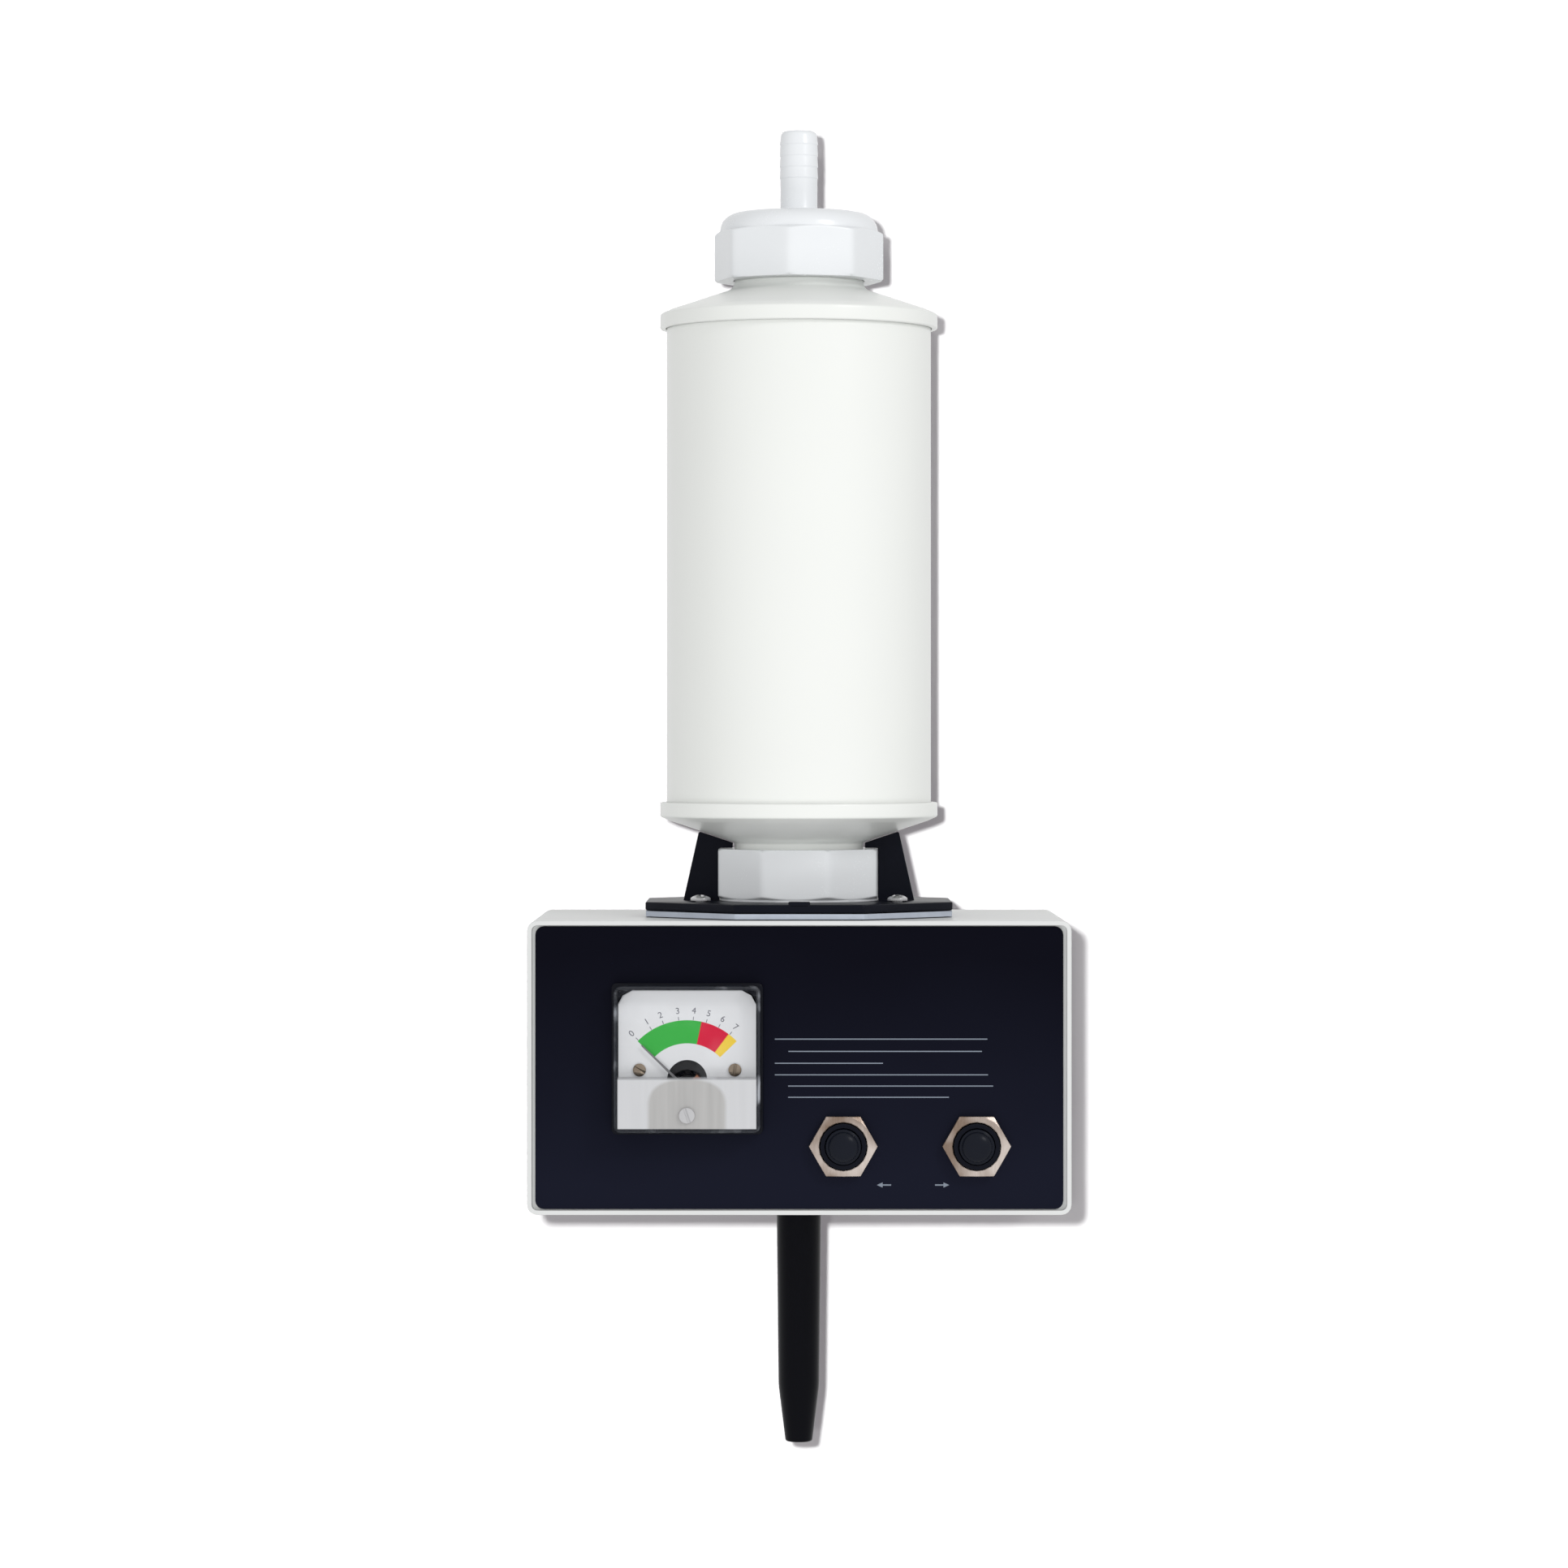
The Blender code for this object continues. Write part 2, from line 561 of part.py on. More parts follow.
def build_meter_case():
    """Flange tray with its two corner posts, and the barrel that goes through the panel."""
    floor = FIT + METER_FLANGE_FLOOR
    top = FIT + METER_FLANGE_DEPTH
    place_of_meter = (meter_place(), FACING_FRONT)
    square = rounded_rectangle(METER_SQUARE, METER_SQUARE, METER_CORNER)
    tray_square = METER_SQUARE - 2 * METER_FLANGE_WALL
    tray = rounded_rectangle(tray_square, tray_square, METER_CORNER)
    case = slab("meter_case", [square], FIT, top, *place_of_meter)
    cut(case, slab("tray", [tray], floor, top + OVERRUN, *place_of_meter))
    join(case, rod("barrel", BARREL_RADIUS, -BARREL_DEPTH, floor - METER_FLANGE_FLOOR / 2,
                   LARGE_STEPS, *place_of_meter))
    cut(case, rod("movement_pocket", POCKET_RADIUS, -POCKET_DEPTH, top + OVERRUN, MEDIUM_STEPS,
                  meter_place(drop=PIVOT_DROP), FACING_FRONT))
    cover_inside = COVER_SQUARE / 2 - COVER_WALL
    post = cover_inside - POST_RADIUS - FIT
    post_top = COVER_PROUD - COVER_WALL - FIT
    for side in (-1, 1):
        join(case, rod(f"post_{side}", POST_RADIUS, floor - METER_FLANGE_FLOOR / 2, post_top,
                       SMALL_STEPS, meter_place(drop=-post, reach=side * post), FACING_FRONT))
        screw_place = meter_place(drop=DIAL_SCREW_DROP, reach=side * DIAL_SCREW_REACH)
        join(case, rod(f"dial_boss_{side}", DIAL_BOSS_RADIUS, floor - METER_FLANGE_FLOOR / 2, top,
                       SMALL_STEPS, screw_place, FACING_FRONT))
        cut(case, rod(f"dial_boss_hole_{side}", DIAL_SCREW_RADIUS + FIT, floor, top + OVERRUN,
                      SMALL_STEPS, screw_place, FACING_FRONT))
        cut(case, rod(f"stud_hole_{side}", STUD_RADIUS + FIT, -BARREL_DEPTH - OVERRUN,
                      -BARREL_DEPTH + STUD_SINK + FIT, SMALL_STEPS,
                      meter_place(reach=side * STUD_SPACING / 2), FACING_FRONT))
    finish(case, "black_plastic")


def build_meter_cover():
    """The clear front, a square cup that sits on the flange."""
    low = METER_FLANGE_DEPTH + 2 * FIT
    outer = rounded_rectangle(COVER_SQUARE, COVER_SQUARE, COVER_CORNER)
    inner_square = COVER_SQUARE - 2 * COVER_WALL
    inner = rounded_rectangle(inner_square, inner_square, COVER_CORNER - COVER_WALL)
    cover = slab("meter_cover", [outer], low, COVER_PROUD, meter_place(), FACING_FRONT)
    cut(cover, slab("cover_hollow", [inner], low - OVERRUN, COVER_PROUD - COVER_WALL,
                    meter_place(), FACING_FRONT))
    cut(cover, rod("adjuster_hole", ADJUSTER_STEM_RADIUS + FIT, low, COVER_PROUD + OVERRUN,
                   SMALL_STEPS, meter_place(drop=ADJUSTER_DROP), FACING_FRONT))
    finish(cover, "clear_plastic")


def build_meter_dial():
    """The scale plate, notched over the movement and round the two posts, and its screws."""
    low = METER_FLANGE_DEPTH + 2 * FIT
    half = COVER_SQUARE / 2 - COVER_WALL - FIT
    bottom = -DIAL_BOTTOM_DROP
    post = half - POST_RADIUS
    notch = POST_RADIUS + FIT
    edge = arc((0, bottom), DIAL_NOTCH_RADIUS, math.pi, 0, SMALL_STEPS)
    edge += [(half, bottom), (half, post - notch)]
    edge += arc((post, post), notch, -math.pi / 2, -math.pi, SMALL_STEPS)
    edge += [(post - notch, half), (notch - post, half)]
    edge += arc((-post, post), notch, 0, -math.pi / 2, SMALL_STEPS)
    edge += [(-half, post - notch), (-half, bottom)]
    holes = [circle(DIAL_SCREW_RADIUS + FIT, SMALL_STEPS,
                    (side * DIAL_SCREW_REACH, -DIAL_SCREW_DROP)) for side in (-1, 1)]
    finish(slab("meter_dial", [edge] + holes, low, low + DIAL_THICK, meter_place(), FACING_FRONT),
           "dial_white")
    seat = low + DIAL_THICK + FIT
    head_top = seat + DIAL_SCREW_HEAD_HEIGHT
    bottom_of_screw = METER_FLANGE_FLOOR + 2 * FIT
    for name, side in (("dial_screw_left", -1), ("dial_screw_right", 1)):
        profile = [(0, head_top), (DIAL_SCREW_HEAD_RADIUS, head_top),
                   (DIAL_SCREW_HEAD_RADIUS, seat), (DIAL_SCREW_RADIUS, seat),
                   (DIAL_SCREW_RADIUS, bottom_of_screw), (0, bottom_of_screw)]
        screw_place = meter_place(drop=DIAL_SCREW_DROP, reach=side * DIAL_SCREW_REACH)
        finish(turned(name, profile, SMALL_STEPS, screw_place, FACING_FRONT), "brass")


def build_movement():
    """Ring magnet, core on its cross arm, arched yoke plate, and the coil between them."""
    pivot = (meter_place(drop=PIVOT_DROP), FACING_FRONT)
    yoke_low = METER_FLANGE_FLOOR + 2 * FIT
    yoke_bottom = PIVOT_DROP - (METER_SQUARE / 2 - METER_FLANGE_WALL - FIT)
    edge = [(YOKE_RADIUS, yoke_bottom)] + arc((0, 0), YOKE_RADIUS, 0, math.pi, MEDIUM_STEPS)
    edge += [(-YOKE_RADIUS, yoke_bottom)]
    finish(slab("meter_yoke", [edge, circle(YOKE_HOLE_RADIUS, MEDIUM_STEPS)], yoke_low,
                yoke_low + YOKE_THICK, *pivot), "magnet_grey")
    top = yoke_low - FIT
    low = top - MAGNET_LENGTH
    ring = [(MAGNET_BORE, top), (MAGNET_RADIUS, top), (MAGNET_RADIUS, low), (MAGNET_BORE, low)]
    finish(turned("meter_magnet", ring, MEDIUM_STEPS, *pivot, ring=True), "magnet_grey")
    coil_low = COIL_PROUD - COIL_LENGTH
    core_low = coil_low + COIL_BAR + FIT
    core = rod("meter_core", CORE_RADIUS, core_low, core_low + CORE_LENGTH, MEDIUM_STEPS, *pivot)
    arm = rounded_rectangle(CORE_ARM_WIDTH, 2 * (MAGNET_BORE - FIT), CORE_ARM_WIDTH / 4)
    arm_low = core_low + (CORE_LENGTH - CORE_ARM_HEIGHT) / 2
    join(core, slab("core_arm", [arm], arm_low, arm_low + CORE_ARM_HEIGHT, *pivot))
    finish(core, "magnet_grey")
    outer = rounded_rectangle(2 * COIL_REACH, COIL_LENGTH, COIL_BAR)
    window = rounded_rectangle(2 * (COIL_REACH - COIL_BAR), COIL_LENGTH - 2 * COIL_BAR,
                               COIL_BAR / 2)
    coil_centre = meter_place(height=coil_low + COIL_LENGTH / 2, drop=PIVOT_DROP)
    finish(slab("meter_coil", [outer, window], -COIL_DEPTH / 2, COIL_DEPTH / 2, coil_centre,
                (0, NEEDLE_REST, 0)), "copper")


def build_needle():
    """Tapered pointer with a tail, its hub and the shaft that stands on the coil."""
    hub_low = METER_FLANGE_DEPTH + 2 * FIT + DIAL_THICK + FIT
    blade_low = hub_low + NEEDLE_HUB_HEIGHT / 2
    turn = (math.pi / 2, NEEDLE_REST, 0)
    pivot = meter_place(drop=PIVOT_DROP)
    blade = [(-NEEDLE_TAIL_WIDTH / 2, -NEEDLE_TAIL), (NEEDLE_TAIL_WIDTH / 2, -NEEDLE_TAIL),
             (NEEDLE_ROOT_WIDTH / 2, 0), (NEEDLE_TIP_WIDTH / 2, NEEDLE_LENGTH),
             (-NEEDLE_TIP_WIDTH / 2, NEEDLE_LENGTH), (-NEEDLE_ROOT_WIDTH / 2, 0)]
    needle = slab("meter_needle", [blade], blade_low, blade_low + NEEDLE_THICK, pivot, turn)
    hub_top = hub_low + NEEDLE_HUB_HEIGHT
    shaft_low = COIL_PROUD + FIT
    profile = [(0, hub_top), (NEEDLE_HUB_RADIUS, hub_top), (NEEDLE_HUB_RADIUS, hub_low),
               (NEEDLE_SHAFT_RADIUS, hub_low), (NEEDLE_SHAFT_RADIUS, shaft_low), (0, shaft_low)]
    join(needle, turned("needle_hub", profile, SMALL_STEPS, pivot, turn))
    finish(needle, "black_plastic")


def build_zero_adjuster():
    """Slotted screw in the cover, whose off-centre pin trims the needle's rest place."""
    at = (meter_place(drop=ADJUSTER_DROP), FACING_FRONT)
    seat = COVER_PROUD + FIT
    top = seat + ADJUSTER_HEAD_HEIGHT
    stem_low = COVER_PROUD - COVER_WALL - FIT
    profile = [(0, top), (ADJUSTER_HEAD_RADIUS, top), (ADJUSTER_HEAD_RADIUS, seat),
               (ADJUSTER_STEM_RADIUS, seat), (ADJUSTER_STEM_RADIUS, stem_low), (0, stem_low)]
    adjuster = turned("zero_adjuster", profile, SMALL_STEPS, *at)
    slot = rounded_rectangle(2 * ADJUSTER_HEAD_RADIUS + OVERRUN, ADJUSTER_SLOT_WIDTH,
                             ADJUSTER_SLOT_WIDTH / 8)
    cut(adjuster, slab("adjuster_slot", [slot], top - ADJUSTER_SLOT_DEPTH, top + OVERRUN, *at))
    pin_place = meter_place(drop=ADJUSTER_DROP - ADJUSTER_CRANK)
    join(adjuster, rod("adjuster_pin", ADJUSTER_PIN_RADIUS, stem_low - ADJUSTER_PIN_LENGTH,
                       (stem_low + seat) / 2, SMALL_STEPS, pin_place, FACING_FRONT))
    finish(adjuster, "black_plastic")


def hexagon(flats, first_angle=0.0):
    return polygon(flats / (2 * math.cos(math.pi / 6)), 6, first_angle)


def build_meter_rear():
    """Two studs behind the barrel that carry the circuit board, and their nuts."""
    back = -BARREL_DEPTH
    board_high = back - FIT
    nut_high = board_high - BOARD_THICK - FIT
    board_edge = rounded_rectangle(BOARD_WIDTH, BOARD_HEIGHT, BOARD_CORNER)
    holes = [circle(STUD_RADIUS + FIT, SMALL_STEPS, (side * STUD_SPACING / 2, 0))
             for side in (-1, 1)]
    board = slab("circuit_board", [board_edge] + holes, board_high - BOARD_THICK, board_high,
                 meter_place(), FACING_FRONT)
    add_board_components(board, board_high - BOARD_THICK)
    finish(board, "board_green")
    for name, side in (("left", -1), ("right", 1)):
        at = (meter_place(reach=side * STUD_SPACING / 2), FACING_FRONT)
        finish(rod("meter_stud_" + name, STUD_RADIUS, back - STUD_PROUD, back + STUD_SINK,
                   SMALL_STEPS, *at), "brass")
        nut = [hexagon(STUD_NUT_FLATS), circle(STUD_RADIUS + FIT, SMALL_STEPS)]
        finish(slab("stud_nut_" + name, nut, nut_high - STUD_NUT_THICK, nut_high, *at), "brass")


def add_board_components(board, face):
    """A chip, a trimmer and a capacitor on the board's rear face, placed as shares of it."""
    root = face + BOARD_THICK / 2
    for name, (width, height) in (("chip", CHIP_SIZE), ("trimmer", TRIMMER_SIZE)):
        across_share, up_share = COMPONENT_PLACE_SHARES[name]
        centre = (BOARD_WIDTH * across_share, BOARD_HEIGHT * up_share)
        edge = rounded_rectangle(width, height, BOARD_CORNER / 2, centre)
        join(board, slab(name, [edge], face - COMPONENT_HEIGHT, root, meter_place(),
                         FACING_FRONT))
    across_share, up_share = COMPONENT_PLACE_SHARES["capacitor"]
    spot = meter_place(drop=-BOARD_HEIGHT * up_share, reach=BOARD_WIDTH * across_share)
    join(board, rod("capacitor", CAPACITOR_RADIUS, face - CAPACITOR_HEIGHT, root, SMALL_STEPS,
                    spot, FACING_FRONT))


def build_button(side, x):
    """One push button: bushed body, nut, washer, domed cap and return spring."""
    at = ((x, PANEL_Y, BUTTON_Z), FACING_FRONT)
    washer_high = -FRONT_WALL_BACK - FIT
    shoulder = washer_high - WASHER_THICK - FIT
    floor = -BUTTON_BODY_DEPTH + BUTTON_FLOOR
    bore = BUTTON_CAP_RADIUS + FIT
    body = [(0, floor), (COLLAR_RADIUS + FIT, floor), (COLLAR_RADIUS + FIT, -COLLAR_STOP_DEPTH),
            (bore, -COLLAR_STOP_DEPTH), (bore, BUSH_PROUD), (BUSH_RADIUS, BUSH_PROUD),
            (BUSH_RADIUS, shoulder), (BUTTON_BODY_RADIUS, shoulder),
            (BUTTON_BODY_RADIUS, -BUTTON_BODY_DEPTH), (0, -BUTTON_BODY_DEPTH)]
    housing = turned("button_body_" + side, body, MEDIUM_STEPS, *at)
    for tag in (-1, 1):
        edge = rounded_rectangle(TAG_WIDTH, TAG_THICK, TAG_THICK / 4, (0, tag * TAG_SPACING / 2))
        join(housing, slab(f"tag_{side}_{tag}", [edge], -BUTTON_BODY_DEPTH - TAG_LENGTH,
                           -BUTTON_BODY_DEPTH + BUTTON_FLOOR / 2, *at))
    finish(housing, "black_plastic")

    nut_low = FIT
    nut_high = nut_low + BUTTON_NUT_THICK
    nut = slab("button_nut_" + side,
               [hexagon(BUTTON_NUT_FLATS), circle(BUSH_RADIUS + FIT, MEDIUM_STEPS)],
               nut_low, nut_high, *at)
    corner = BUTTON_NUT_FLATS / (2 * math.cos(math.pi / 6)) + FIT
    envelope = [(0, nut_high), (BUTTON_NUT_FLATS / 2, nut_high),
                (corner, nut_high - BUTTON_NUT_CHAMFER), (corner, nut_low - OVERRUN),
                (0, nut_low - OVERRUN)]
    combine(nut, turned("nut_envelope_" + side, envelope, MEDIUM_STEPS, *at), "INTERSECT")
    finish(nut, "nickel")

    ring = [(BUSH_RADIUS + FIT, washer_high), (WASHER_RADIUS, washer_high),
            (WASHER_RADIUS, washer_high - WASHER_THICK),
            (BUSH_RADIUS + FIT, washer_high - WASHER_THICK)]
    finish(turned("button_washer_" + side, ring, MEDIUM_STEPS, *at, ring=True), "zinc_steel")

    collar_high = -COLLAR_STOP_DEPTH - FIT
    collar_low = collar_high - COLLAR_THICK
    stem_low = floor + BUTTON_TRAVEL + FIT
    rim = BUSH_PROUD + BUTTON_CAP_PROUD - BUTTON_DOME
    dome = [(BUTTON_CAP_RADIUS * math.sin(a), rim + BUTTON_DOME * math.cos(a))
            for a in [math.pi / 2 * i / DOME_STEPS for i in range(DOME_STEPS + 1)]]
    cap = dome + [(BUTTON_CAP_RADIUS, collar_high), (COLLAR_RADIUS, collar_high),
                  (COLLAR_RADIUS, collar_low), (STEM_RADIUS, collar_low),
                  (STEM_RADIUS, stem_low), (0, stem_low)]
    finish(turned("button_cap_" + side, cap, MEDIUM_STEPS, *at), "black_plastic")
    build_button_spring(side, at, floor + FIT + SPRING_WIRE, collar_low - FIT - SPRING_WIRE)


def build_button_spring(side, at, low, high):
    """A plain helix between the body's floor and the cap's collar."""
    curve = bpy.data.curves.new("button_spring_" + side, "CURVE")
    curve.dimensions = "3D"
    curve.bevel_depth = SPRING_WIRE
    curve.bevel_resolution = 1
    curve.use_fill_caps = True
    spline = curve.splines.new("POLY")
    count = SPRING_TURNS * SPRING_POINTS_PER_TURN
    spline.points.add(count)
    for number, point in enumerate(spline.points):
        angle = 2 * math.pi * number / SPRING_POINTS_PER_TURN
        height = low + (high - low) * number / count
        point.co = (SPRING_RADIUS * math.cos(angle), SPRING_RADIUS * math.sin(angle), height, 1)
    print("spring gap", (high - low) / SPRING_TURNS - 2 * SPRING_WIRE)
    finish(place("button_spring_" + side, welded_mesh(curve), *at), "zinc_steel")


def build_holder():
    """Octagonal plate on its gasket, with two hooked fins that clip over the lower cap."""
    plate_low = TOP_Z + HOLDER_LIFT
    plate_high = plate_low + HOLDER_THICK
    hole = CAP_DOME_RADIUS + FIT
    centre = (0, AXIS_Y, 0)
    places = [(x, y - AXIS_Y) for x, y in holder_screw_places()]
    screw_holes = [circle(SCREW_RADIUS + FIT, SMALL_STEPS, spot) for spot in places]
    vertex = HOLDER_FLATS / (2 * math.cos(math.pi / 8))
    holder = slab("holder", [polygon(vertex, 8, math.pi / 8), circle(hole, LARGE_STEPS)]
                  + screw_holes, plate_low, plate_high, centre)
    inner_x = CAP_FLAT_RADIUS / math.cos(LOWER_CAP_TURN) + 2 * FIT
    foot_z = plate_high - HOLDER_THICK / 2
    cone_z = SOCKET_OPEN_Z + NECK_SHOW_LOWER - FIT / math.cos(CONE_ANGLE)
    slope = math.tan(CONE_ANGLE)
    tip_x = NECK_RADIUS + FIN_TIP_CLEARANCE
    for side, name in ((-1, "left"), (1, "right")):
        outline = [(FIN_FOOT_X, foot_z), (FIN_FOOT_X, plate_high),
                   (FIN_SHOULDER_X, cone_z + (FIN_SHOULDER_X - NECK_RADIUS) * slope),
                   (tip_x, cone_z + (tip_x - NECK_RADIUS) * slope),
                   (tip_x, SOCKET_OPEN_Z + FIT), (inner_x, SOCKET_OPEN_Z + FIT),
                   (inner_x, plate_high), (inner_x + HOLDER_THICK, foot_z)]
        fin = [(side * x, z) for x, z in outline]
        join(holder, slab("fin_" + name, [fin], -FIN_THICK / 2, FIN_THICK / 2, centre,
                          FACING_FRONT))
    front = (0, -HOLDER_FLATS / 2 + INDEX_DEPTH / 2)
    index = rounded_rectangle(INDEX_WIDTH, INDEX_DEPTH, INDEX_HEIGHT, front)
    join(holder, slab("index_bump", [index], plate_high - INDEX_HEIGHT, plate_high + INDEX_HEIGHT,
                      centre))
    finish(holder, "black_plastic")
    gasket_vertex = (HOLDER_FLATS / 2 - HOLDER_GASKET_INSET) / math.cos(math.pi / 8)
    finish(slab("holder_gasket", [polygon(gasket_vertex, 8, math.pi / 8),
                                  circle(hole, LARGE_STEPS)] + screw_holes, TOP_Z + FIT,
                plate_low - FIT, centre), "grey_rubber")
    for number, (x, y) in enumerate(holder_screw_places(), start=1):
        seat = plate_high + FIT
        top = seat + SCREW_HEAD_HEIGHT
        end = seat - SCREW_LENGTH
        profile = [(0, top), (SCREW_HEAD_RADIUS * math.cos(math.pi / 4), top),
                   (SCREW_HEAD_RADIUS, seat + SCREW_HEAD_HEIGHT / 2), (SCREW_HEAD_RADIUS, seat),
                   (SCREW_RADIUS, seat), (SCREW_RADIUS, end), (0, end)]
        finish(turned(f"holder_screw_{number}", profile, SMALL_STEPS, (x, y, 0)), "zinc_steel")


def cap_profile(tail):
    """The cap's turned envelope: tail, crown, rounded edge, corner slope, skirt and bores."""
    corner = CAP_VERTEX_RADIUS + OVERRUN
    edge_centre = (CAP_DOME_RADIUS - CAP_EDGE_RADIUS, CAP_HEIGHT - CAP_CROWN - CAP_EDGE_RADIUS)
    edge = arc(edge_centre, CAP_EDGE_RADIUS, math.pi / 2, 0, CORNER_STEPS)
    slope = (CAP_VERTEX_RADIUS - CAP_DOME_RADIUS) / CAP_CORNER_RISE
    skirt_top = CAP_SKIRT - (corner - CAP_VERTEX_RADIUS) / slope
    floor = CAP_HEIGHT - CAP_TOP_WALL
    return (tail + edge + [(CAP_DOME_RADIUS, CAP_SKIRT + CAP_CORNER_RISE), (corner, skirt_top),
                           (corner, 0), (CAP_BORE, 0), (CAP_BORE, floor), (BORE_RADIUS, floor)])


def build_cap(name, tail, at, turn, octagon_turn, finish_name):
    """An octagonal cap: the turned envelope within an eight-sided prism."""
    cap = turned(name, cap_profile(tail), CAP_STEPS, at, turn, ring=True)
    reach = max(height for radius, height in tail) + OVERRUN
    octagon = polygon(CAP_VERTEX_RADIUS, 8, octagon_turn)
    combine(cap, slab(name + "_octagon", [octagon], -OVERRUN, reach, at, turn), "INTERSECT")
    finish(cap, finish_name)


def barb_tail():
    """Hose barb from its tip down to the cap's crown, each barb a slope and a step."""
    tip = CAP_HEIGHT + BARB_LENGTH
    points = [(BORE_RADIUS, tip), (BARB_TIP_RADIUS, tip)]
    for number in range(BARB_COUNT):
        edge = tip - BARB_FIRST - number * BARB_PITCH
        points += [(BARB_RADIUS, edge), (BARB_ROOT_RADIUS, edge - FIT)]
    foot = (BARB_ROOT_RADIUS + BARB_FOOT_FILLET, CAP_HEIGHT + BARB_FOOT_FILLET)
    return points + arc(foot, BARB_FOOT_FILLET, math.pi, 3 * math.pi / 2, 3)


def spigot_tail():
    tip = CAP_HEIGHT + SPIGOT_LENGTH
    return [(BORE_RADIUS, tip), (SPIGOT_RADIUS, tip), (SPIGOT_RADIUS, CAP_HEIGHT)]


def build_caps():
    """Inlet cap with its barb above, socket cap with its spigot below, and their seals."""
    first_corner = -math.pi / 2
    build_cap("inlet_cap", barb_tail(), (0, AXIS_Y, CAP_OPEN_Z), (0, 0, 0),
              first_corner + UPPER_CAP_TURN, "cap_plastic")
    build_cap("socket_cap", spigot_tail(), (0, AXIS_Y, SOCKET_OPEN_Z), INVERTED,
              first_corner + math.pi / 8 - LOWER_CAP_TURN, "cap_plastic")
    low = NECK_ENGAGED + FIT
    high = CAP_HEIGHT - CAP_TOP_WALL - FIT
    ring = [(CAP_SEAL_BORE, high), (NECK_RADIUS, high), (NECK_RADIUS, low), (CAP_SEAL_BORE, low)]
    finish(turned("inlet_seal", ring, MEDIUM_STEPS, (0, AXIS_Y, CAP_OPEN_Z), ring=True),
           "grey_rubber")
    finish(turned("socket_seal", ring, MEDIUM_STEPS, (0, AXIS_Y, SOCKET_OPEN_Z), INVERTED,
                  ring=True), "grey_rubber")


def end_profile(neck_show, fillet):
    """One end moulding from the neck's tip down its outside and back up its inside."""
    tip = END_RIM_HEIGHT + END_RISE + neck_show + NECK_ENGAGED
    junction = END_RIM_HEIGHT + END_RISE
    slope = math.tan(CONE_ANGLE)
    bevel_x = END_RIM_RADIUS - RIM_BEVEL_WIDTH
    bevel_z = END_RIM_HEIGHT + RIM_BEVEL_WIDTH * math.tan(RIM_BEVEL_ANGLE)
    outside = [(NECK_BORE, tip), (NECK_RADIUS, tip)]
    if fillet:
        centre_x = NECK_RADIUS + fillet
        centre_z = junction - fillet * slope + fillet / math.cos(CONE_ANGLE)
        outside += arc((centre_x, centre_z), fillet, math.pi, 3 * math.pi / 2 - CONE_ANGLE,
                       CORNER_STEPS)
    else:
        outside += [(NECK_RADIUS, junction)]
    outside += [(bevel_x, bevel_z), (END_RIM_RADIUS, END_RIM_HEIGHT),
                (END_RIM_RADIUS, RIM_EDGE), (END_RIM_RADIUS - RIM_EDGE, 0)]
    ledge_x = TUBE_RADIUS - TUBE_WALL
    inside = [(TUBE_RADIUS + FIT, 0), (TUBE_RADIUS + FIT, END_LEDGE_DEPTH),
              (ledge_x, END_LEDGE_DEPTH), (NECK_BORE, junction - END_WALL)]
    return outside + inside


def build_cartridge():
    """Tube, two end mouldings with their necks, the resin bed and the two strainers."""
    upper = ((0, AXIS_Y, UPPER_RIM_Z), (0, 0, 0))
    lower = ((0, AXIS_Y, LOWER_RIM_Z), INVERTED)
    seat = END_LEDGE_DEPTH - FIT
    tube_high = UPPER_RIM_Z + seat
    tube_low = LOWER_RIM_Z - seat
    bore = TUBE_RADIUS - TUBE_WALL
    tube = [(bore, tube_high), (TUBE_RADIUS, tube_high), (TUBE_RADIUS, tube_low), (bore, tube_low)]
    finish(turned("cartridge_tube", tube, LARGE_STEPS, (0, AXIS_Y, 0), ring=True),
           "white_plastic")
    for name, show, fillet, where in (
            ("cartridge_top_end", NECK_SHOW_UPPER, NECK_FILLET, upper),
            ("cartridge_bottom_end", NECK_SHOW_LOWER, 0, lower)):
        finish(turned(name, end_profile(show, fillet), LARGE_STEPS, *where, ring=True),
               "white_plastic")
        tip = END_RIM_HEIGHT + END_RISE + show + NECK_ENGAGED - STRAINER_SINK
        spots = arc((0, 0), STRAINER_HOLE_CIRCLE, 0, 2 * math.pi, STRAINER_HOLES)[:-1]
        holes = [circle(STRAINER_HOLE_RADIUS, STRAINER_HOLE_STEPS, spot) for spot in spots]
        finish(slab(name.replace("end", "strainer"),
                    [circle(NECK_BORE - FIT, MEDIUM_STEPS)] + holes,
                    tip - STRAINER_THICK, tip, *where), "grey_rubber")
    finish(rod("resin_bed", bore - FIT, tube_low + RESIN_END_GAP, tube_high - RESIN_END_GAP,
               LARGE_STEPS, (0, AXIS_Y, 0)), "resin_amber")


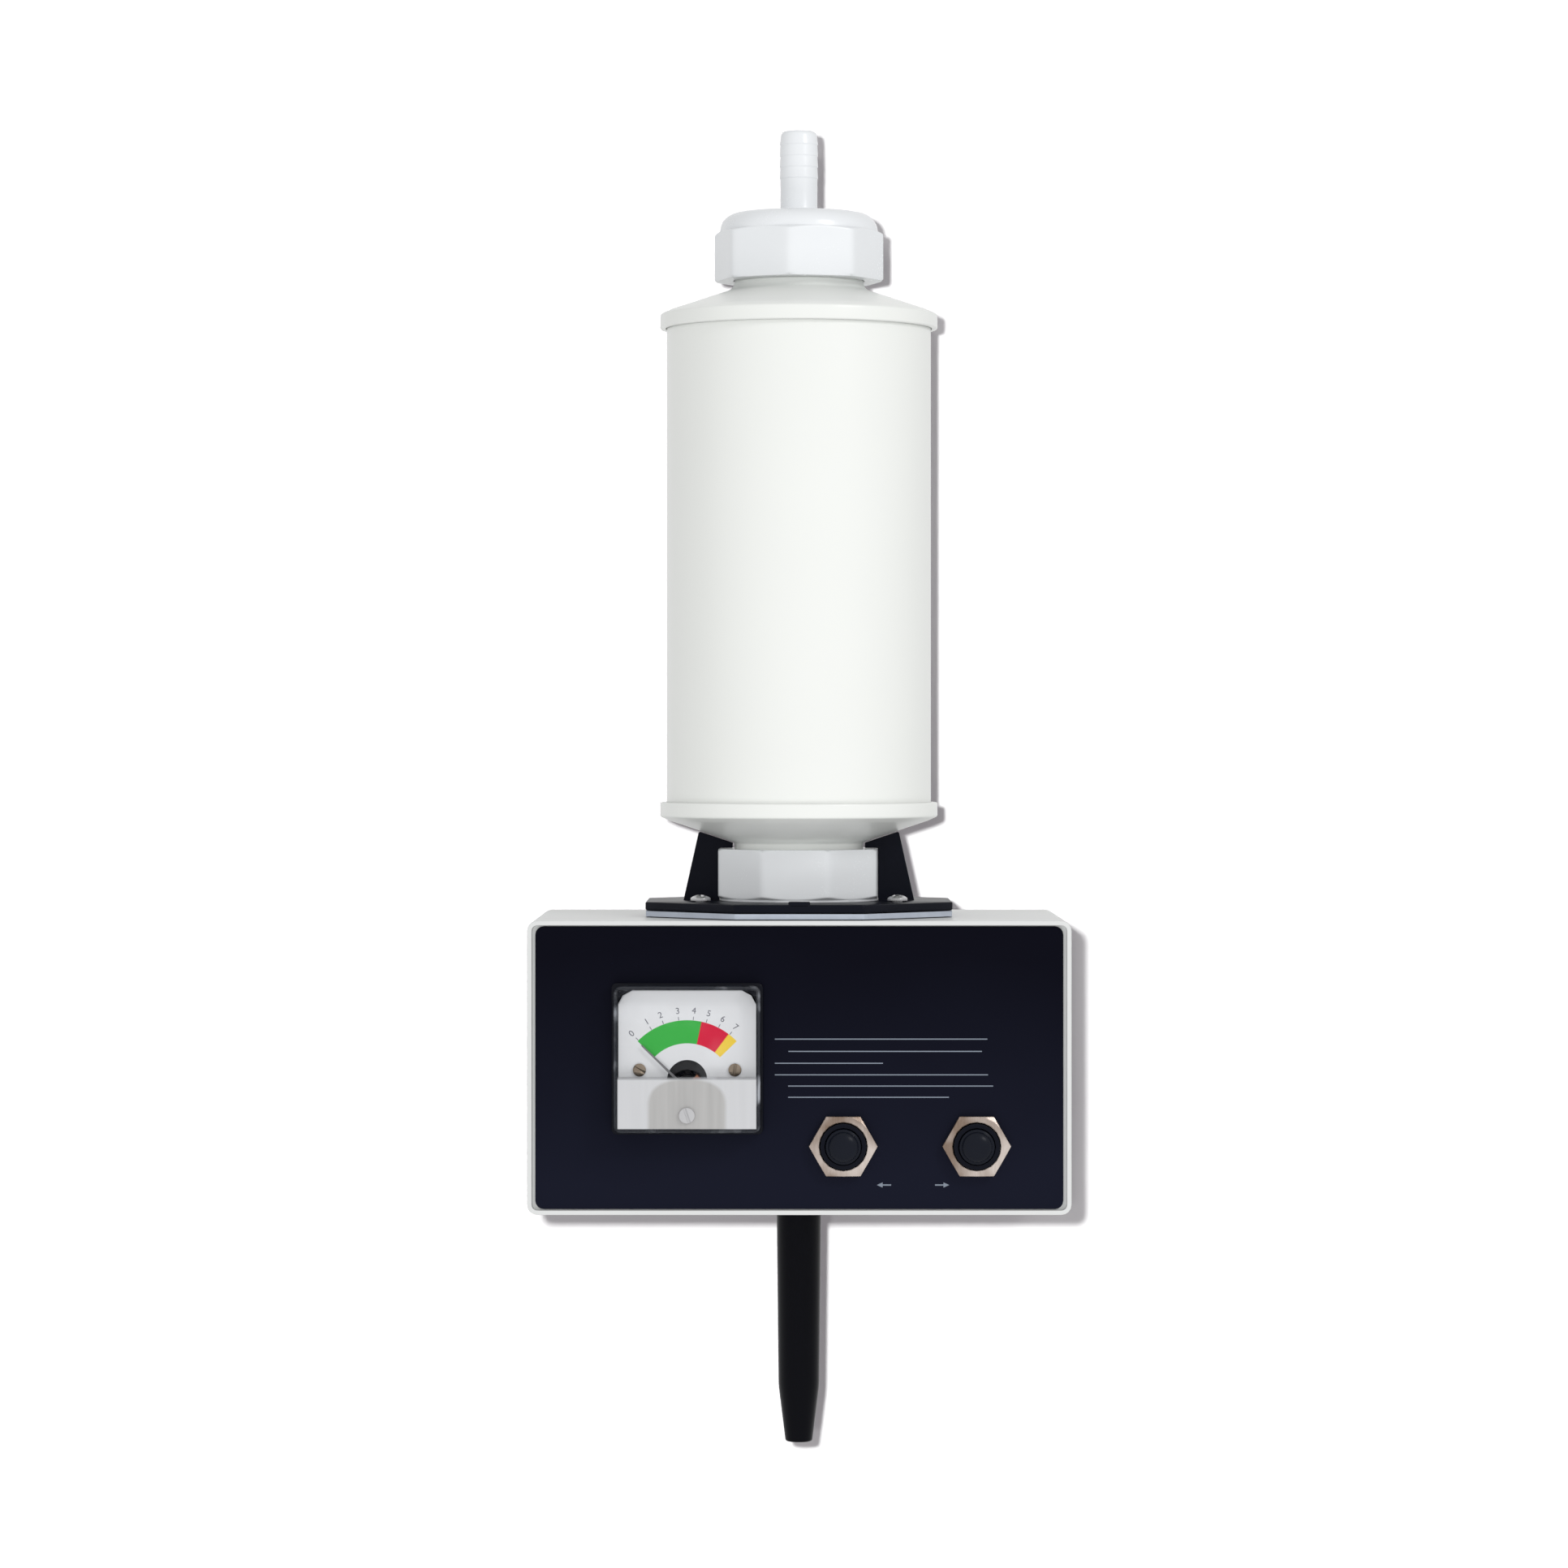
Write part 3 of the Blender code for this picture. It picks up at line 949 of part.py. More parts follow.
def build_flow_path():
    """Flow cell on the socket cap's spigot, its electrodes, and the spout with its nut."""
    centre = (0, AXIS_Y, 0)
    upper_socket = CELL_TOP_Z - CELL_SOCKET_DEPTH
    lower_socket = CELL_BOTTOM_Z + CELL_SOCKET_DEPTH
    upper_bore = SPIGOT_RADIUS + FIT
    lower_bore = SPOUT_STEM_RADIUS + FIT
    cell = [(upper_bore, CELL_TOP_Z), (CELL_RADIUS, CELL_TOP_Z), (CELL_RADIUS, CELL_BOTTOM_Z),
            (lower_bore, CELL_BOTTOM_Z), (lower_bore, lower_socket), (BORE_RADIUS, lower_socket),
            (BORE_RADIUS, upper_socket), (upper_bore, upper_socket)]
    flow_cell = turned("flow_cell", cell, MEDIUM_STEPS, centre, ring=True)
    middle = (CELL_TOP_Z + CELL_BOTTOM_Z) / 2
    for side, name in ((-1, "left"), (1, "right")):
        turn = (0, side * math.pi / 2, 0)
        at = ((0, AXIS_Y, middle), turn)
        cut(flow_cell, rod("electrode_hole_" + name, ELECTRODE_RADIUS + FIT, ELECTRODE_BORE_GAP,
                           ELECTRODE_REACH, SMALL_STEPS, *at))
        finish(rod("electrode_" + name, ELECTRODE_RADIUS, ELECTRODE_BORE_GAP, ELECTRODE_REACH,
                   SMALL_STEPS, *at), "zinc_steel")
    finish(flow_cell, "white_plastic")

    shoulder = BOTTOM_Z - FIT
    stem_top = lower_socket - FIT
    taper = BOTTOM_Z - SPOUT_LENGTH + SPOUT_TAPER_LENGTH
    tip = BOTTOM_Z - SPOUT_LENGTH
    spout = [(BORE_RADIUS, stem_top), (SPOUT_STEM_RADIUS, stem_top),
             (SPOUT_STEM_RADIUS, shoulder), (SPOUT_TOP_RADIUS, shoulder),
             (SPOUT_LOW_RADIUS, taper), (SPOUT_TIP_RADIUS, tip), (BORE_RADIUS, tip)]
    finish(turned("spout", spout, MEDIUM_STEPS, centre, ring=True), "black_plastic")
    nut_low = BOTTOM_Z + CASE_WALL + FIT
    nut = [hexagon(SPOUT_NUT_FLATS), circle(SPOUT_STEM_RADIUS + FIT, MEDIUM_STEPS)]
    finish(slab("spout_nut", nut, nut_low, nut_low + SPOUT_NUT_THICK, centre), "black_plastic")


def build_battery():
    """Rectangular battery in a spring clip, with its snap-on lead block."""
    at = ((BATTERY_X, BATTERY_Y, 0), FACING_LEFT)
    half = BATTERY_LENGTH / 2
    edge = rounded_rectangle(BATTERY_DEPTH, BATTERY_WIDTH, BATTERY_CORNER)
    battery = slab("battery", [edge], -half, half, *at)
    for side, radius in zip((-1, 1), TERMINAL_RADII):
        join(battery, rod(f"terminal_{side}", radius, half - TERMINAL_LENGTH,
                          half + TERMINAL_LENGTH, SMALL_STEPS,
                          (BATTERY_X, BATTERY_Y, side * TERMINAL_SPACING / 2), FACING_LEFT))
    finish(battery, "battery_shell")
    snap_low = half + TERMINAL_LENGTH + FIT
    snap = rounded_rectangle(SNAP_DEPTH, BATTERY_WIDTH, BATTERY_CORNER)
    finish(slab("battery_snap", [snap], snap_low, snap_low + SNAP_THICK, *at), "black_plastic")
    back = -BATTERY_DEPTH / 2 - FIT
    jaw = BATTERY_WIDTH / 2 + FIT
    front = back + CLIP_REACH
    outline = [(back - CLIP_THICK, -jaw - CLIP_THICK), (front, -jaw - CLIP_THICK), (front, -jaw),
               (back, -jaw), (back, jaw), (front, jaw), (front, jaw + CLIP_THICK),
               (back - CLIP_THICK, jaw + CLIP_THICK)]
    finish(slab("battery_clip", [outline], -CLIP_WIDTH / 2, CLIP_WIDTH / 2, *at), "zinc_steel")


def main():
    clear_scene()
    build_case_shell()
    build_front_panel()
    build_back_plate()
    build_meter_case()
    build_meter_cover()
    build_meter_dial()
    build_movement()
    build_needle()
    build_zero_adjuster()
    build_meter_rear()
    for side, x in BUTTON_XS.items():
        build_button(side, x)
    build_holder()
    build_caps()
    build_cartridge()
    build_flow_path()
    build_battery()


main()
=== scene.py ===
import math

import bmesh
import bpy
import numpy as np
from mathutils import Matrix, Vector


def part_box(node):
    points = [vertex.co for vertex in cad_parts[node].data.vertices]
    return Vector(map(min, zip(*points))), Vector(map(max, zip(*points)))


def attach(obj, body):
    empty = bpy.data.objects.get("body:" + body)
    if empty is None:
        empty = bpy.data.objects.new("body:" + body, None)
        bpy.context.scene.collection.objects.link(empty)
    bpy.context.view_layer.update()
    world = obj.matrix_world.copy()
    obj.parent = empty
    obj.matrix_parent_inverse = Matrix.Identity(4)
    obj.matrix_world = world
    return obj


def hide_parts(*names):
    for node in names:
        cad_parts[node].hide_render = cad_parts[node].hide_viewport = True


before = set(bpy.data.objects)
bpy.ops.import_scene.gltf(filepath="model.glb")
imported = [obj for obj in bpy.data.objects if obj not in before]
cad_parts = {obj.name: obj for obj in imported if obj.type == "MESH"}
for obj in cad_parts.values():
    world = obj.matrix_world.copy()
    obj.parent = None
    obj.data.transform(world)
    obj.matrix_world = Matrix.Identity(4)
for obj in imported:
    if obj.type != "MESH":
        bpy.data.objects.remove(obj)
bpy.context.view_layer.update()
print("frame loaded:", len(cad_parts), "nodes")

tau = 2 * math.pi


# shader wires

class Wire:
    # one node output; arithmetic on it adds Math nodes
    def __init__(self, graph, socket):
        self.graph, self.socket = graph, socket

    def reckon(self, operation, *values, clamp=False):
        return self.graph.node("ShaderNodeMath", {"operation": operation, "use_clamp": clamp}, values)

    def __add__(self, other):
        return self.reckon("ADD", self, other)

    def __radd__(self, other):
        return self.reckon("ADD", other, self)

    def __sub__(self, other):
        return self.reckon("SUBTRACT", self, other)

    def __rsub__(self, other):
        return self.reckon("SUBTRACT", other, self)

    def __mul__(self, other):
        return self.reckon("MULTIPLY", self, other)

    def __rmul__(self, other):
        return self.reckon("MULTIPLY", other, self)

    def __truediv__(self, other):
        return self.reckon("DIVIDE", self, other)

    def __pow__(self, other):
        return self.reckon("POWER", self, other)

    def __neg__(self):
        return self.reckon("MULTIPLY", self, -1.0)

    def size(self):
        return self.reckon("ABSOLUTE", self)

    def above(self, edge, blur):
        # 0 below the edge, 1 above it, with a ramp as wide as blur
        return self.reckon("ADD", (self - edge) / blur, 0.5, clamp=True)

    def below(self, edge, blur):
        return self.reckon("ADD", (edge - self) / blur, 0.5, clamp=True)


class Finish:
    # a material with one Principled shader and short ways to wire it
    def __init__(self, name, **constants):
        self.material = bpy.data.materials.new(name)
        self.material.use_nodes = True
        self.tree = self.material.node_tree
        self.shader = self.tree.nodes["Principled BSDF"]
        self.output = self.tree.nodes["Material Output"]
        for socket, value in constants.items():
            self.shader.inputs[socket.replace("_", " ")].default_value = value

    def feed(self, socket, value):
        if isinstance(value, Wire):
            self.tree.links.new(value.socket, socket)
        else:
            socket.default_value = value

    def node(self, kind, settings=None, inputs=(), output=0):
        # settings first, with "stops" for a ramp, then sockets by number or name
        made = self.tree.nodes.new(kind)
        for key, value in (settings or {}).items():
            if key == "stops":
                ramp = made.color_ramp.elements
                while len(ramp) < len(value):
                    ramp.new(0.5)
                for element, (place, colour) in zip(ramp, value):
                    element.position, element.color = place, (*colour, 1)
            else:
                setattr(made, key, value)
        pairs = inputs.items() if isinstance(inputs, dict) else enumerate(inputs)
        for key, value in pairs:
            self.feed(made.inputs[key], value)
        return Wire(self, made.outputs[output])

    def place(self, shift=(0, 0, 0), stretch=(1, 1, 1)):
        # Object coordinates, moved and stretched by a Mapping node
        here = self.node("ShaderNodeTexCoord", output="Object")
        return self.node("ShaderNodeMapping", {}, {"Vector": here, "Location": shift, "Scale": stretch})

    def axes(self, vector):
        split = self.tree.nodes.new("ShaderNodeSeparateXYZ")
        self.feed(split.inputs[0], vector)
        return [Wire(self, output) for output in split.outputs]

    def noise(self, where, scale, detail=2.0, roughness=0.5):
        return self.node("ShaderNodeTexNoise", {},
                         {"Vector": where, "Scale": scale, "Detail": detail, "Roughness": roughness})

    def mix(self, share, first, second):
        # colours blended by a share
        return self.node("ShaderNodeMix", {"data_type": "RGBA"}, {0: share, 6: first, 7: second}, 2)

    def colour(self, value):
        self.feed(self.shader.inputs["Base Color"], value)

    def rough(self, value):
        self.feed(self.shader.inputs["Roughness"], value)

    def bump(self, height, depth, soft=0.0, strength=1.0):
        # height times depth metres; soft rounds the mesh's edges in the shading
        inputs = {"Height": height, "Distance": depth, "Strength": strength}
        if soft:
            inputs["Normal"] = self.node("ShaderNodeBevel", {"samples": 6}, {"Radius": soft})
        self.feed(self.shader.inputs["Normal"], self.node("ShaderNodeBump", {}, inputs))

    def edges(self, width):
        # 1 on the mesh's edges and 0 on its faces: how far a bevelled normal leans from the true one
        leaned = self.node("ShaderNodeBevel", {"samples": 6}, {"Radius": width})
        true = self.node("ShaderNodeNewGeometry", {}, (), "Normal")
        along = self.node("ShaderNodeVectorMath", {"operation": "DOT_PRODUCT"}, (leaned, true), "Value")
        lean = (1.0 - along) * 5.0
        return lean.reckon("MINIMUM", lean, 1.0)


def grey(value, tint=(1, 1, 1)):
    return (value * tint[0], value * tint[1], value * tint[2], 1)


def lighter(colour, factor):
    return (*(min(channel * factor, 1.0) for channel in colour[:3]), 1)


def simpleFinish(name, base, roughness, metallic=0.0, mottle=0.04, mottleScale=60, grain=900,
                 grainDepth=0.00001, soft=0.0002, roughSwing=0.08, wear=0.0, wearColour=None,
                 specular=0.5, coat=0.0, stretch=(1, 1, 1)):
    # base colour with slow mottling, fine grain as bump, roughness that drifts, and worn edges
    finish = Finish(name, Metallic=metallic, Coat_Weight=coat, Specular_IOR_Level=specular)
    where = finish.place(stretch=stretch)
    slow = finish.noise(where, mottleScale, 3.0)
    fine = finish.noise(where, grain, 2.0)
    colour = finish.mix(slow, lighter(base, 1 - mottle), lighter(base, 1 + mottle))
    if wear:
        worn = finish.edges(0.0004) * finish.noise(where, 350, 3.0) * wear
        colour = finish.mix(worn, colour, wearColour or lighter(base, 1.8))
    finish.colour(colour)
    finish.rough(roughness + (slow - 0.5) * roughSwing + (fine - 0.5) * roughSwing)
    finish.bump(fine, grainDepth, soft)
    return finish.material


# meshes from arrays

def makePiece(name, grids, material, body, replaced=(), sharp=35):
    # each grid is an array (rows, columns, 3); flags say whether its rows or columns close up
    points, quads, start = [], [], 0
    for grid, rowsClose, columnsClose in grids:
        rows, columns = grid.shape[:2]
        number = np.arange(rows * columns).reshape(rows, columns) + start
        if rowsClose:
            number = np.concatenate([number, number[:1]], 0)
        if columnsClose:
            number = np.concatenate([number, number[:, :1]], 1)
        quads.append(np.stack([number[:-1, :-1], number[:-1, 1:], number[1:, 1:], number[1:, :-1]],
                              -1).reshape(-1, 4))
        points.append(grid.reshape(-1, 3))
        start += rows * columns
    points, quads = np.concatenate(points), np.concatenate(quads)
    mesh = bpy.data.meshes.new(name)
    mesh.from_pydata(points, [], quads)
    shape = bmesh.new()
    shape.from_mesh(mesh)
    bmesh.ops.remove_doubles(shape, verts=shape.verts, dist=1e-6)
    bmesh.ops.dissolve_degenerate(shape, edges=shape.edges, dist=1e-7)
    bmesh.ops.recalc_face_normals(shape, faces=shape.faces)
    shape.to_mesh(mesh)
    shape.free()
    mesh.shade_smooth()
    mesh.set_sharp_from_angle(angle=math.radians(sharp))
    mesh.materials.append(material)
    return settle(name, mesh, body, replaced)


def settle(name, mesh, body, replaced=()):
    piece = bpy.data.objects.new(name, mesh)
    bpy.context.scene.collection.objects.link(piece)
    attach(piece, body)
    if replaced:
        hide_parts(*replaced)
    return piece


def turned(profile, steps, centre=(0, 0, 0), facing="up", closed=True):
    # rows follow the profile of (radius, height); columns go round: (r cos a, r sin a, h)
    profile = np.asarray(profile, float)
    angles = np.arange(steps) * tau / steps
    grid = np.stack([profile[:, :1] * np.cos(angles), profile[:, :1] * np.sin(angles),
                     np.repeat(profile[:, 1:2], steps, 1)], -1)
    return (towards(grid, centre, facing), closed, True)


def towards(grid, centre, facing):
    # local height becomes up, down or front (-Y)
    x, y, h = grid[..., 0], grid[..., 1], grid[..., 2]
    if facing == "front":
        x, y, h = x, -h, y
    elif facing == "down":
        x, y, h = x, -y, -h
    return np.stack([x + centre[0], y + centre[1], h + centre[2]], -1)


def softened(points, radii, steps=5, closed=False):
    # each corner of a polyline becomes an arc that is tangent to both of its sides
    points = [np.array(point, float) for point in points]
    radii = radii if isinstance(radii, (list, tuple)) else [radii] * len(points)
    done, count = [], len(points)
    for number, (corner, radius) in enumerate(zip(points, radii)):
        if not radius or (not closed and number in (0, count - 1)):
            done.append(corner)
            continue
        back, ahead = points[number - 1] - corner, points[(number + 1) % count] - corner
        backLength, aheadLength = np.linalg.norm(back), np.linalg.norm(ahead)
        back, ahead = back / backLength, ahead / aheadLength
        half = math.acos(max(-1.0, min(1.0, float(back @ ahead)))) / 2
        if half > 1.56:
            done.append(corner)
            continue
        reach = min(radius / math.tan(half), 0.49 * backLength, 0.49 * aheadLength)
        radius = reach * math.tan(half)
        bisector = (back + ahead) / np.linalg.norm(back + ahead)
        centre = corner + bisector * radius / math.sin(half)
        first, last = corner + back * reach - centre, corner + ahead * reach - centre
        sweep = math.atan2(first[0] * last[1] - first[1] * last[0], float(first @ last))
        for share in np.linspace(0, 1, steps + 1):
            turn = sweep * share
            done.append(centre + np.array([first[0] * math.cos(turn) - first[1] * math.sin(turn),
                                           first[0] * math.sin(turn) + first[1] * math.cos(turn)]))
    return np.array(done)


def roundedSquare(width, height, radius, steps=6, centre=(0, 0)):
    # four quarter arcs joined by straight sides, each side cut in eight
    quarters = []
    for side, end, start in ((1, 1, 0), (-1, 1, 1), (-1, -1, 2), (1, -1, 3)):
        turn = np.linspace(start, start + 1, steps + 1) * math.pi / 2
        corner = np.array([side * (width / 2 - radius), end * (height / 2 - radius)])
        quarters.append(corner + radius * np.stack([np.cos(turn), np.sin(turn)], -1))
    outline = []
    for number, quarter in enumerate(quarters):
        ahead = quarters[(number + 1) % 4][0]
        share = np.linspace(0, 1, 9)[1:-1, None]
        outline += [quarter, quarter[-1] * (1 - share) + ahead * share]
    return np.concatenate(outline) + np.array(centre)


def level(outline, height):
    # an outline laid at a height
    return np.concatenate([outline, np.full((len(outline), 1), height)], 1)


def aimedAt(outline, centre, radius):
    # points of a circle that lie towards each point of an outline
    away = outline - np.array(centre)
    return np.array(centre) + radius * away / np.linalg.norm(away, axis=1)[:, None]


def dressNode(name, material):
    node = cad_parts[name]
    node.data.materials.clear()
    node.data.materials.append(material)


# camera, stage and light

view = {"place": (-0.0045, -1.5985, 0.0992), "lens": 117.4, "rise": -0.0342}

camera = bpy.data.objects.new("camera", bpy.data.cameras.new("camera"))
camera.location = view["place"]
camera.rotation_euler = (math.pi / 2, 0, 0)
camera.data.lens = view["lens"]
camera.data.sensor_width = 36
camera.data.shift_y = view["rise"]
bpy.context.scene.collection.objects.link(camera)
bpy.context.scene.camera = camera
bpy.context.scene.view_settings.view_transform = "Standard"

stage = {"wallGap": 0.0006, "floor": -0.166, "reach": 1.6, "paper": 0.28, "glow": 0.07,
         "worldLight": 0.64, "sun": 0.80, "sunSoft": 2.0, "sunLean": (0.075, 1.0, -0.060),
         "flash": 300, "flashPlace": (-0.078, -1.58, 0.148), "flashSize": 0.022}


def buildStage():
    # wall and floor are only seen from their front and by the camera, so they never shade the back
    finish = Finish("paper", Roughness=0.9, Specular_IOR_Level=0.1)
    fibre = finish.noise(finish.place(), 8, 2.0)
    finish.colour(finish.mix(fibre, grey(stage["paper"] - 0.01), grey(stage["paper"])))
    rays = finish.tree.nodes.new("ShaderNodeLightPath")
    behind = finish.node("ShaderNodeNewGeometry", {}, (), "Backfacing")
    seen = Wire(finish, rays.outputs["Is Camera Ray"]) * (1.0 - behind)
    glow = finish.node("ShaderNodeEmission", {}, {"Color": (1, 0.80, 1, 1), "Strength": stage["glow"]})
    paper = finish.node("ShaderNodeAddShader", {}, (Wire(finish, finish.shader.outputs[0]), glow))
    clear = finish.node("ShaderNodeBsdfTransparent")
    finish.feed(finish.output.inputs[0], finish.node("ShaderNodeMixShader", {}, (seen, clear, paper)))
    reach, low, gap = stage["reach"], stage["floor"], stage["wallGap"]
    lit = bpy.data.collections.new("litPaper")
    corners = {"wall": [(-reach, gap, low), (reach, gap, low), (reach, gap, reach), (-reach, gap, reach)],
               "floor": [(-reach, -reach, low), (reach, -reach, low), (reach, reach, low),
                         (-reach, reach, low)]}
    for name, points in corners.items():
        mesh = bpy.data.meshes.new(name)
        mesh.from_pydata(points, [], [(0, 1, 2, 3)])
        mesh.materials.append(finish.material)
        sheet = bpy.data.objects.new(name, mesh)
        bpy.context.scene.collection.objects.link(sheet)
        lit.objects.link(sheet)


def buildWorld():
    world = bpy.data.worlds.new("studio")
    bpy.context.scene.world = world
    world.use_nodes = True
    nodes, links = world.node_tree.nodes, world.node_tree.links
    rays = nodes.new("ShaderNodeLightPath")
    seen = rays.outputs["Is Camera Ray"]
    for kind in ("Is Glossy Ray", "Is Transmission Ray"):
        either = nodes.new("ShaderNodeMath")
        either.operation = "MAXIMUM"
        links.new(seen, either.inputs[0])
        links.new(rays.outputs[kind], either.inputs[1])
        seen = either.outputs[0]
    strength = nodes.new("ShaderNodeMix")
    strength.inputs[2].default_value, strength.inputs[3].default_value = stage["worldLight"], 1.0
    links.new(seen, strength.inputs[0])
    nodes["Background"].inputs[0].default_value = (1, 1, 1, 1)
    links.new(strength.outputs[0], nodes["Background"].inputs[1])


def addLight(name, kind, energy, place=(0, 0, 0), aim=(0, 1, 0), glossy=True, only=None, **settings):
    light = bpy.data.lights.new(name, kind)
    light.energy = energy
    for key, value in settings.items():
        setattr(light, key, value)
    lamp = bpy.data.objects.new(name, light)
    lamp.location = place
    lamp.rotation_euler = Vector(aim).to_track_quat("-Z", "Y").to_euler()
    lamp.visible_glossy = glossy
    if only:
        lamp.light_linking.receiver_collection = only
    bpy.context.scene.collection.objects.link(lamp)


buildStage()
buildWorld()
addLight("sun", "SUN", stage["sun"], aim=stage["sunLean"], angle=math.radians(stage["sunSoft"]), glossy=False)
addLight("flash", "POINT", stage["flash"], stage["flashPlace"], glossy=False,
         only=bpy.data.collections["litPaper"], shadow_soft_size=stage["flashSize"])
addLight("lowBox", "AREA", 1.7, (0.0, -0.95, -0.42), (0.0, 0.80, 0.46), shape="RECTANGLE", size=0.8,
         size_y=0.4, glossy=False)
addLight("sideBox", "AREA", 2.2, (0.62, -0.75, 0.62), (-0.62, 0.70, -0.55), shape="RECTANGLE", size=0.22,
         size_y=0.22)
print("stage and light ready")


# finishes

whitePlastic = simpleFinish("whitePlastic", (0.80, 0.815, 0.79, 1), 0.30, mottle=0.012, mottleScale=25,
                            grain=1400, grainDepth=0.000004, roughSwing=0.05, soft=0.0003)
capPlastic = simpleFinish("capPlastic", (0.77, 0.79, 0.81, 1), 0.26, mottle=0.015, mottleScale=70,
                          grain=1800, grainDepth=0.000004, roughSwing=0.05, soft=0.0003)
casePaint = simpleFinish("casePaint", (0.66, 0.67, 0.665, 1), 0.36, mottle=0.015, mottleScale=30,
                         grain=1100, grainDepth=0.00001, soft=0.0003, wear=0.25, wearColour=grey(0.8))
blackPlastic = simpleFinish("blackPlastic", (0.0042, 0.0050, 0.0095, 1), 0.34, mottle=0.15, specular=0.07,
                            grain=1500, grainDepth=0.000008, soft=0.0003, wear=0.3, wearColour=grey(0.03))
glossBlack = simpleFinish("glossBlack", (0.0042, 0.0048, 0.0085, 1), 0.20, mottle=0.15, specular=0.09,
                          grain=1600, grainDepth=0.000004, soft=0.0002, wear=0.3, wearColour=grey(0.03))
spoutPlastic = simpleFinish("spoutPlastic", (0.0012, 0.0013, 0.0028, 1), 0.36, mottle=0.2, specular=0.07,
                            grain=1200, grainDepth=0.00001, soft=0.0002)
steel = simpleFinish("steel", (0.50, 0.50, 0.51, 1), 0.30, metallic=1.0, mottle=0.06, mottleScale=150,
                     grain=2500, grainDepth=0.000006, roughSwing=0.12, soft=0.0002)
needleGrey = simpleFinish("needleGrey", (0.16, 0.16, 0.17, 1), 0.5, mottle=0.1, grain=2500)
domeBlack = simpleFinish("domeBlack", (0.0050, 0.0065, 0.0120, 1), 0.30, mottle=0.15, specular=0.12,
                         grain=1600, grainDepth=0.000004, soft=0.0004)
brass = simpleFinish("brass", (0.27, 0.22, 0.17, 1), 0.34, metallic=1.0, mottle=0.10, mottleScale=400,
                     grain=3000, grainDepth=0.000006, roughSwing=0.15)
copper = simpleFinish("copper", (0.55, 0.22, 0.12, 1), 0.35, metallic=1.0, mottle=0.10, mottleScale=300,
                      grain=3500, grainDepth=0.00002, roughSwing=0.15, stretch=(1, 0.1, 1))
rubber = simpleFinish("rubber", (0.035, 0.037, 0.042, 1), 0.75, mottle=0.12, grain=1400,
                      grainDepth=0.00002, specular=0.3)
magnetGrey = simpleFinish("magnetGrey", (0.012, 0.012, 0.014, 1), 0.5, metallic=0.3, mottle=0.15, grain=1200,
                          grainDepth=0.00002)
boardGreen = simpleFinish("boardGreen", (0.02, 0.13, 0.045, 1), 0.35, mottle=0.2, mottleScale=500, grain=1500)
batteryShell = simpleFinish("batteryShell", (0.05, 0.10, 0.22, 1), 0.35, mottle=0.08, grain=900)
resin = simpleFinish("resin", (0.40, 0.22, 0.07, 1), 0.5, mottle=0.5, mottleScale=900, grain=900,
                     grainDepth=0.0003)


def panelFinish():
    # dark printed plate, painted lighter low down and darker at the top as painted light, with fine grain and
    # worn edges
    finish = Finish("panelPrint", Specular_IOR_Level=0.045)
    where = finish.place()
    x, y, z = finish.axes(where)
    slow, fine = finish.noise(where, 16, 3.0), finish.noise(where, 2200, 2.0)
    # painted light: the plate's colour runs from darker at the top to lighter low down
    paintedLightLowDown = z.reckon("ADD", z / 0.07 + 0.5, (slow - 0.5) * 0.5, clamp=True)
    inkWithPaintedLight = finish.mix(paintedLightLowDown, (0.0068, 0.0078, 0.0168, 1), (0.0018, 0.0019, 0.0056, 1))
    worn = finish.edges(0.0004) * finish.noise(where, 350, 3.0) * 0.3
    finish.colour(finish.mix(worn, inkWithPaintedLight, grey(0.05)))
    finish.rough(0.40 + (slow - 0.5) * 0.08 + (fine - 0.5) * 0.10)
    finish.bump(fine, 0.000006, 0.0003)
    return finish.material


def nickelFinish():
    # plated nickel, brushed by turning, bright, with brown patches in slow noise painted as darker
    # reflections
    finish = Finish("nickel", Metallic=1.0)
    where = finish.place()
    # painted reflection: brown patches stand in for the darker reflections on the plating
    darkReflectionPatch = finish.noise(finish.place(shift=(0.0, 0.0, 0.013)), 75, 2.0).above(0.47, 0.22)
    brushed = finish.noise(finish.place(stretch=(1, 1, 0.15)), 1800, 2.0)
    plate = finish.mix(brushed, (0.50, 0.43, 0.39, 1), (0.74, 0.66, 0.61, 1))
    paintedDarkReflection = finish.mix(brushed, (0.19, 0.135, 0.10, 1), (0.30, 0.225, 0.18, 1))
    finish.colour(finish.mix(darkReflectionPatch, plate, paintedDarkReflection))
    finish.rough(0.20 + brushed * 0.12 + darkReflectionPatch * 0.08)
    finish.bump(brushed, 0.000006, 0.00045)
    return finish.material


panelPrint, nickel = panelFinish(), nickelFinish()
# painted shade: the gasket's grey-blue is the colour of the shaded gap under the holder plate
gasketShadeGrey = simpleFinish("gasketShadeGrey", (0.44, 0.48, 0.55, 1), 0.8, mottle=0.10, mottleScale=300, grain=1400,
                          grainDepth=0.00004, specular=0.2)

for names, material in (
        (["case_shell"], casePaint), (["front_panel"], panelPrint),
        (["back_plate", "battery_clip", "electrode_left", "electrode_right", "button_washer_left",
          "button_washer_right", "button_spring_left", "button_spring_right", "back_screw_1",
          "back_screw_2", "back_screw_3", "back_screw_4"], steel),
        (["spout_nut", "battery_snap", "button_body_left", "button_body_right"], blackPlastic),
        (["meter_needle"], needleGrey),
        (["socket_seal", "inlet_seal", "cartridge_top_strainer",
          "cartridge_bottom_strainer"], rubber),
        (["flow_cell"], whitePlastic), (["meter_coil"], copper),
        (["meter_yoke", "meter_magnet", "meter_core"], magnetGrey),
        (["meter_stud_left", "meter_stud_right", "stud_nut_left", "stud_nut_right"], brass),
        (["button_nut_left", "button_nut_right"], nickel),
        (["circuit_board"], boardGreen), (["battery"], batteryShell), (["resin_bed"], resin)):
    for nodeName in names:
        dressNode(nodeName, material)
print("finishes made")


# cartridge: tube and two end mouldings

